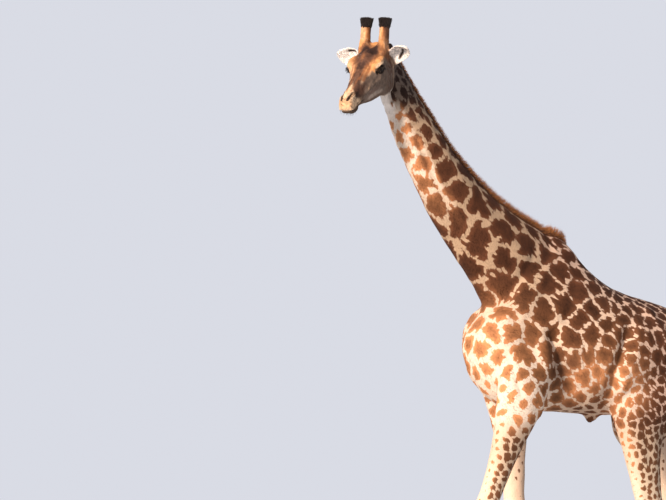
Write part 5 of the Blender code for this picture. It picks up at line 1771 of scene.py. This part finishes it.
class GIRAFFE_OT_skin(bpy.types.Operator):
    """Make the hide: one closed skin with its folds and markings"""

    bl_idname = "giraffe.skin"
    bl_label = "Skin"

    def execute(self, context):
        sizes = context.scene.giraffe_skin
        mesh, web, places = shaped_skin(sizes)
        triangles = sum(len(face.vertices) - 2 for face in mesh.polygons)
        if triangles >= MOST_TRIANGLES:
            raise RuntimeError(f"the skin's mesh is too fine: {triangles} triangles")
        marks = Markings(places, web, sizes)
        ground, patch, mark = painted(places, marks, web)
        back = places.soft(web, "trunk", rounds=15)
        fields = {"mark": mark, "tone": marks.tone, "back": back, "ground": ground, "patch": patch}
        for name, values in fields.items():
            store(mesh, name, values)
        mesh.materials.append(hide_finish())
        short = web.smoothed(places.on("head") * on_skull(places) + places.on(*LIMBS), 8, keep_size=False)
        bare = places.on("head") * smoothstep(0.50, 0.62, places.head[:, 0])
        fields["length"] = mix(mix(1.0, 0.62, short), 0.35, bare)
        finished(new_object("hide", mesh), "root", "hide", *BODY_FLESH, *HEAD_FLESH)
        SHARED["skin"] = Skin(mesh, web, places, fields)
        return {"FINISHED"}


class GIRAFFE_OT_eyes(bpy.types.Operator):
    """Make the two eyeballs"""

    bl_idname = "giraffe.eyes"
    bl_label = "Eyes"

    def execute(self, context):
        finish = eye_finish()
        for side in SIDES:
            ball = new_object(f"eyeball_{side}", eye_mesh(side))
            ball.data.materials.append(finish)
            finished(ball, "root", "eye", f"eye_{side}")
        return {"FINISHED"}


class GIRAFFE_OT_hooves(bpy.types.Operator):
    """Make the eight claws"""

    bl_idname = "giraffe.hooves"
    bl_label = "Hooves"

    def execute(self, context):
        finish = hoof_finish()
        for node in HOOVES:
            claw = new_object(node.replace("hoof", "claw"), hoof_mesh(node))
            claw.data.materials.append(finish)
            finished(claw, "root", "hoof", node)
        return {"FINISHED"}


class GIRAFFE_OT_mane(bpy.types.Operator):
    """Grow the mane along the nape"""

    bl_idname = "giraffe.mane"
    bl_label = "Mane"

    def execute(self, context):
        sizes = context.scene.giraffe_hair
        row = nape_row(SHARED["skin"], dice("mane"), sizes.mane)
        finish = hair_finish("mane_hair")
        piece = plant("mane_hair", row, finish, segments=4, fullness=0.8, flatness=0.4)
        finished(piece, "root", "mane_hair", "mane")
        return {"FINISHED"}


class GIRAFFE_OT_tail_hair(bpy.types.Operator):
    """Grow the long hair at the tail's end"""

    bl_idname = "giraffe.tail_hair"
    bl_label = "Tail hair"

    def execute(self, context):
        sizes = context.scene.giraffe_hair
        row = tail_row(SHARED["skin"], dice("tail"), sizes.tail)
        finish = hair_finish("tail_hair")
        piece = plant("tail_hair", row, finish, segments=12, fullness=1.1, flatness=0.5)
        finished(piece, "root", "dark_hair", "tail_tuft")
        return {"FINISHED"}


class GIRAFFE_OT_horn_hair(bpy.types.Operator):
    """Grow the black hair at the ends of the ossicones"""

    bl_idname = "giraffe.horn_hair"
    bl_label = "Ossicone hair"

    def execute(self, context):
        sizes = context.scene.giraffe_hair
        finish = hair_finish("horn_hair")
        for side in SIDES:
            row = horn_row(SHARED["skin"], dice("horn"), sizes.horn, side)
            piece = plant(f"horn_hair_{side}", row, finish, segments=3, fullness=0.8)
            finished(piece, "root", "dark_hair", f"ossicone_tuft_{side}")
        return {"FINISHED"}


class GIRAFFE_OT_ear_hair(bpy.types.Operator):
    """Grow the fine pale hair of the ears"""

    bl_idname = "giraffe.ear_hair"
    bl_label = "Ear hair"

    def execute(self, context):
        sizes = context.scene.giraffe_hair
        finish = coat_finish()
        for side in SIDES:
            row = ear_row(SHARED["skin"], dice("ear"), sizes.ear, side)
            piece = plant(f"ear_hair_{side}", row, finish, segments=2, fullness=0.4, flatness=0.15)
            finished(piece, "root", "hide")
        return {"FINISHED"}


class GIRAFFE_OT_lashes(bpy.types.Operator):
    """Grow the lashes and the bristles of the lips"""

    bl_idname = "giraffe.lashes"
    bl_label = "Lashes and bristles"

    def execute(self, context):
        sizes = context.scene.giraffe_hair
        finish = hair_finish("lash")
        for side in SIDES:
            row = lash_row(SHARED["skin"], dice("lash"), sizes.lash, side)
            finished(plant(f"lashes_{side}", row, finish, segments=4), "root", "dark_hair")
        row = whisker_row(SHARED["skin"], dice("whisker"), sizes.whisker)
        finished(plant("lip_bristles", row, finish, segments=3), "root", "dark_hair")
        return {"FINISHED"}


COATS = {
    # piece: parts it grows on, share of the count, length, width, share of the lift
    "coat_head": (("head", *HORN_STEMS), 0.9, 0.0085, 0.0017, 0.75),
    "coat_neck": (("neck",), 1.0, 0.0140, 0.0034, 0.9),
    "coat_trunk": (("trunk",), 1.0, 0.0170, 0.0042, 1.0),
    "coat_forelegs": (("foreleg_left", "foreleg_right"), 0.9, 0.0130, 0.0030, 0.7),
    "coat_hindlegs": (("hindleg_left", "hindleg_right", "tail"), 1.0, 0.0140, 0.0032, 0.8),
}


class GIRAFFE_OT_coat(bpy.types.Operator):
    """Grow the short coat over the whole skin"""

    bl_idname = "giraffe.coat"
    bl_label = "Short coat"

    def execute(self, context):
        sizes = context.scene.giraffe_hair
        skin = SHARED["skin"]
        finish = bpy.data.materials.get("coat") or coat_finish()
        head, skull = skin.places.on("head"), on_skull(skin.places)
        for index, (name, (parts, share, long, wide, lift)) in enumerate(COATS.items()):
            weight = skin.places.on(*parts)
            if name == "coat_head":
                weight = weight * np.where(head > 0, skull, 1)
            if name == "coat_neck":
                weight = weight + head * (1 - skull)
            count = int(sizes.coat * share)
            row = coat_row(skin, dice("coat", index), count, weight, sizes.lift * lift, long, wide)
            finished(plant(name, row, finish, segments=1, fullness=0.0, flatness=0.12), "root", "hide")
        return {"FINISHED"}


SKY = (0.80, 0.82, 0.90)
FLOOR_RADIUS = 60
LIT_HEIGHT = 2.4  # the lights face the animal's middle at this height
BACK_LIGHT = {"shape": "DISK", "size": 4, "energy": 260, "color": (1, 0.86, 0.70)}
BACK_LIGHT_AT = (8, 5, 5)  # behind the animal, to the camera's left and up


def add_light(name, kind, place, target, settings):
    """A soft light that faces the animal."""
    lamp = bpy.data.lights.new(name, kind)
    for setting, value in settings.items():
        setattr(lamp, setting, value)
    obj = bpy.data.objects.new(name, lamp)
    obj.location = place
    obj.rotation_euler = (place - target).to_track_quat("Z", "Y").to_euler()
    bpy.context.scene.collection.objects.link(obj)


class GIRAFFE_OT_stage(bpy.types.Operator):
    """Make the floor, the lights and the camera"""

    bl_idname = "giraffe.stage"
    bl_label = "Stage"

    def execute(self, context):
        sizes = context.scene.giraffe_stage
        world = bpy.data.worlds.new("studio")
        world.use_nodes = True
        tree = Tree(world.node_tree)
        sky = tree.tree.nodes["Background"]
        seen = tree.node("ShaderNodeLightPath", output="Is Camera Ray")
        inputs = {"Value": seen, "To Min": sizes.ambient, "To Max": sizes.backdrop}
        tree.put(sky.inputs["Color"], rgb(SKY))
        tree.put(sky.inputs["Strength"], tree.node("ShaderNodeMapRange", None, inputs))
        context.scene.world = world
        context.scene.view_settings.view_transform = "Standard"
        bpy.ops.mesh.primitive_circle_add(vertices=96, radius=FLOOR_RADIUS, fill_type="TRIFAN")
        floor = context.object
        floor.name = "studio_floor"
        floor.data.materials.append(floor_finish())
        pivot = body_point((0, 0, 0))
        toward = Vector((math.sin(sizes.azimuth), -math.cos(sizes.azimuth), 0))
        right = Vector((math.cos(sizes.azimuth), math.sin(sizes.azimuth), 0))
        camera = bpy.data.objects.new("camera", bpy.data.cameras.new("camera"))
        camera.location = pivot + toward * sizes.distance + Vector((0, 0, sizes.height))
        aim = pivot - right * sizes.aim_ahead + Vector((0, 0, sizes.aim_height)) - camera.location
        camera.rotation_euler = aim.to_track_quat("-Z", "Y").to_euler()
        camera.data.sensor_width = 36
        camera.data.lens = camera.data.sensor_width * aim.length / sizes.view_width
        camera.data.clip_end = 200
        context.scene.collection.objects.link(camera)
        context.scene.camera = camera
        middle = pivot + Vector((0, 0, LIT_HEIGHT))
        way = Vector((math.sin(sizes.key_azimuth), -math.cos(sizes.key_azimuth), math.tan(sizes.key_height)))
        key = {"energy": sizes.key_strength, "angle": sizes.key_spread, "color": sizes.warm}
        add_light("key", "SUN", middle + way, middle, key)
        behind, left, up = BACK_LIGHT_AT
        place = middle - toward * behind - right * left + Vector((0, 0, up))
        add_light("back", "AREA", place, middle, BACK_LIGHT)
        return {"FINISHED"}


PIECES = (
    GIRAFFE_OT_skin,
    GIRAFFE_OT_eyes,
    GIRAFFE_OT_hooves,
    GIRAFFE_OT_mane,
    GIRAFFE_OT_tail_hair,
    GIRAFFE_OT_horn_hair,
    GIRAFFE_OT_ear_hair,
    GIRAFFE_OT_lashes,
    GIRAFFE_OT_coat,
)


class GIRAFFE_PT_panel(bpy.types.Panel):
    """Lists the pieces of the giraffe"""

    bl_idname = "GIRAFFE_PT_panel"
    bl_label = "Museum giraffe"
    bl_space_type = "VIEW_3D"
    bl_region_type = "UI"
    bl_category = "Giraffe"

    def draw(self, context):
        for group in GROUPS:
            settings = getattr(context.scene, group)
            for name in settings.__annotations__:
                self.layout.prop(settings, name)
        for piece in (*PIECES, GIRAFFE_OT_stage):
            self.layout.operator(piece.bl_idname)


GROUPS = {
    "giraffe_skin": GiraffeSkinSizes,
    "giraffe_hair": GiraffeHairSizes,
    "giraffe_stage": GiraffeStageSizes,
}
CLASSES = (*GROUPS.values(), *PIECES, GIRAFFE_OT_stage, GIRAFFE_PT_panel)


def register():
    for made in CLASSES:
        bpy.utils.register_class(made)
    for name, group in GROUPS.items():
        setattr(bpy.types.Scene, name, bpy.props.PointerProperty(type=group))


def unregister():
    for name in GROUPS:
        delattr(bpy.types.Scene, name)
    for made in reversed(CLASSES):
        bpy.utils.unregister_class(made)


def main():
    register()
    for piece in (*PIECES, GIRAFFE_OT_stage):
        name = piece.bl_idname.split(".")[1]
        getattr(bpy.ops.giraffe, name)()


if __name__ == "__main__":
    main()
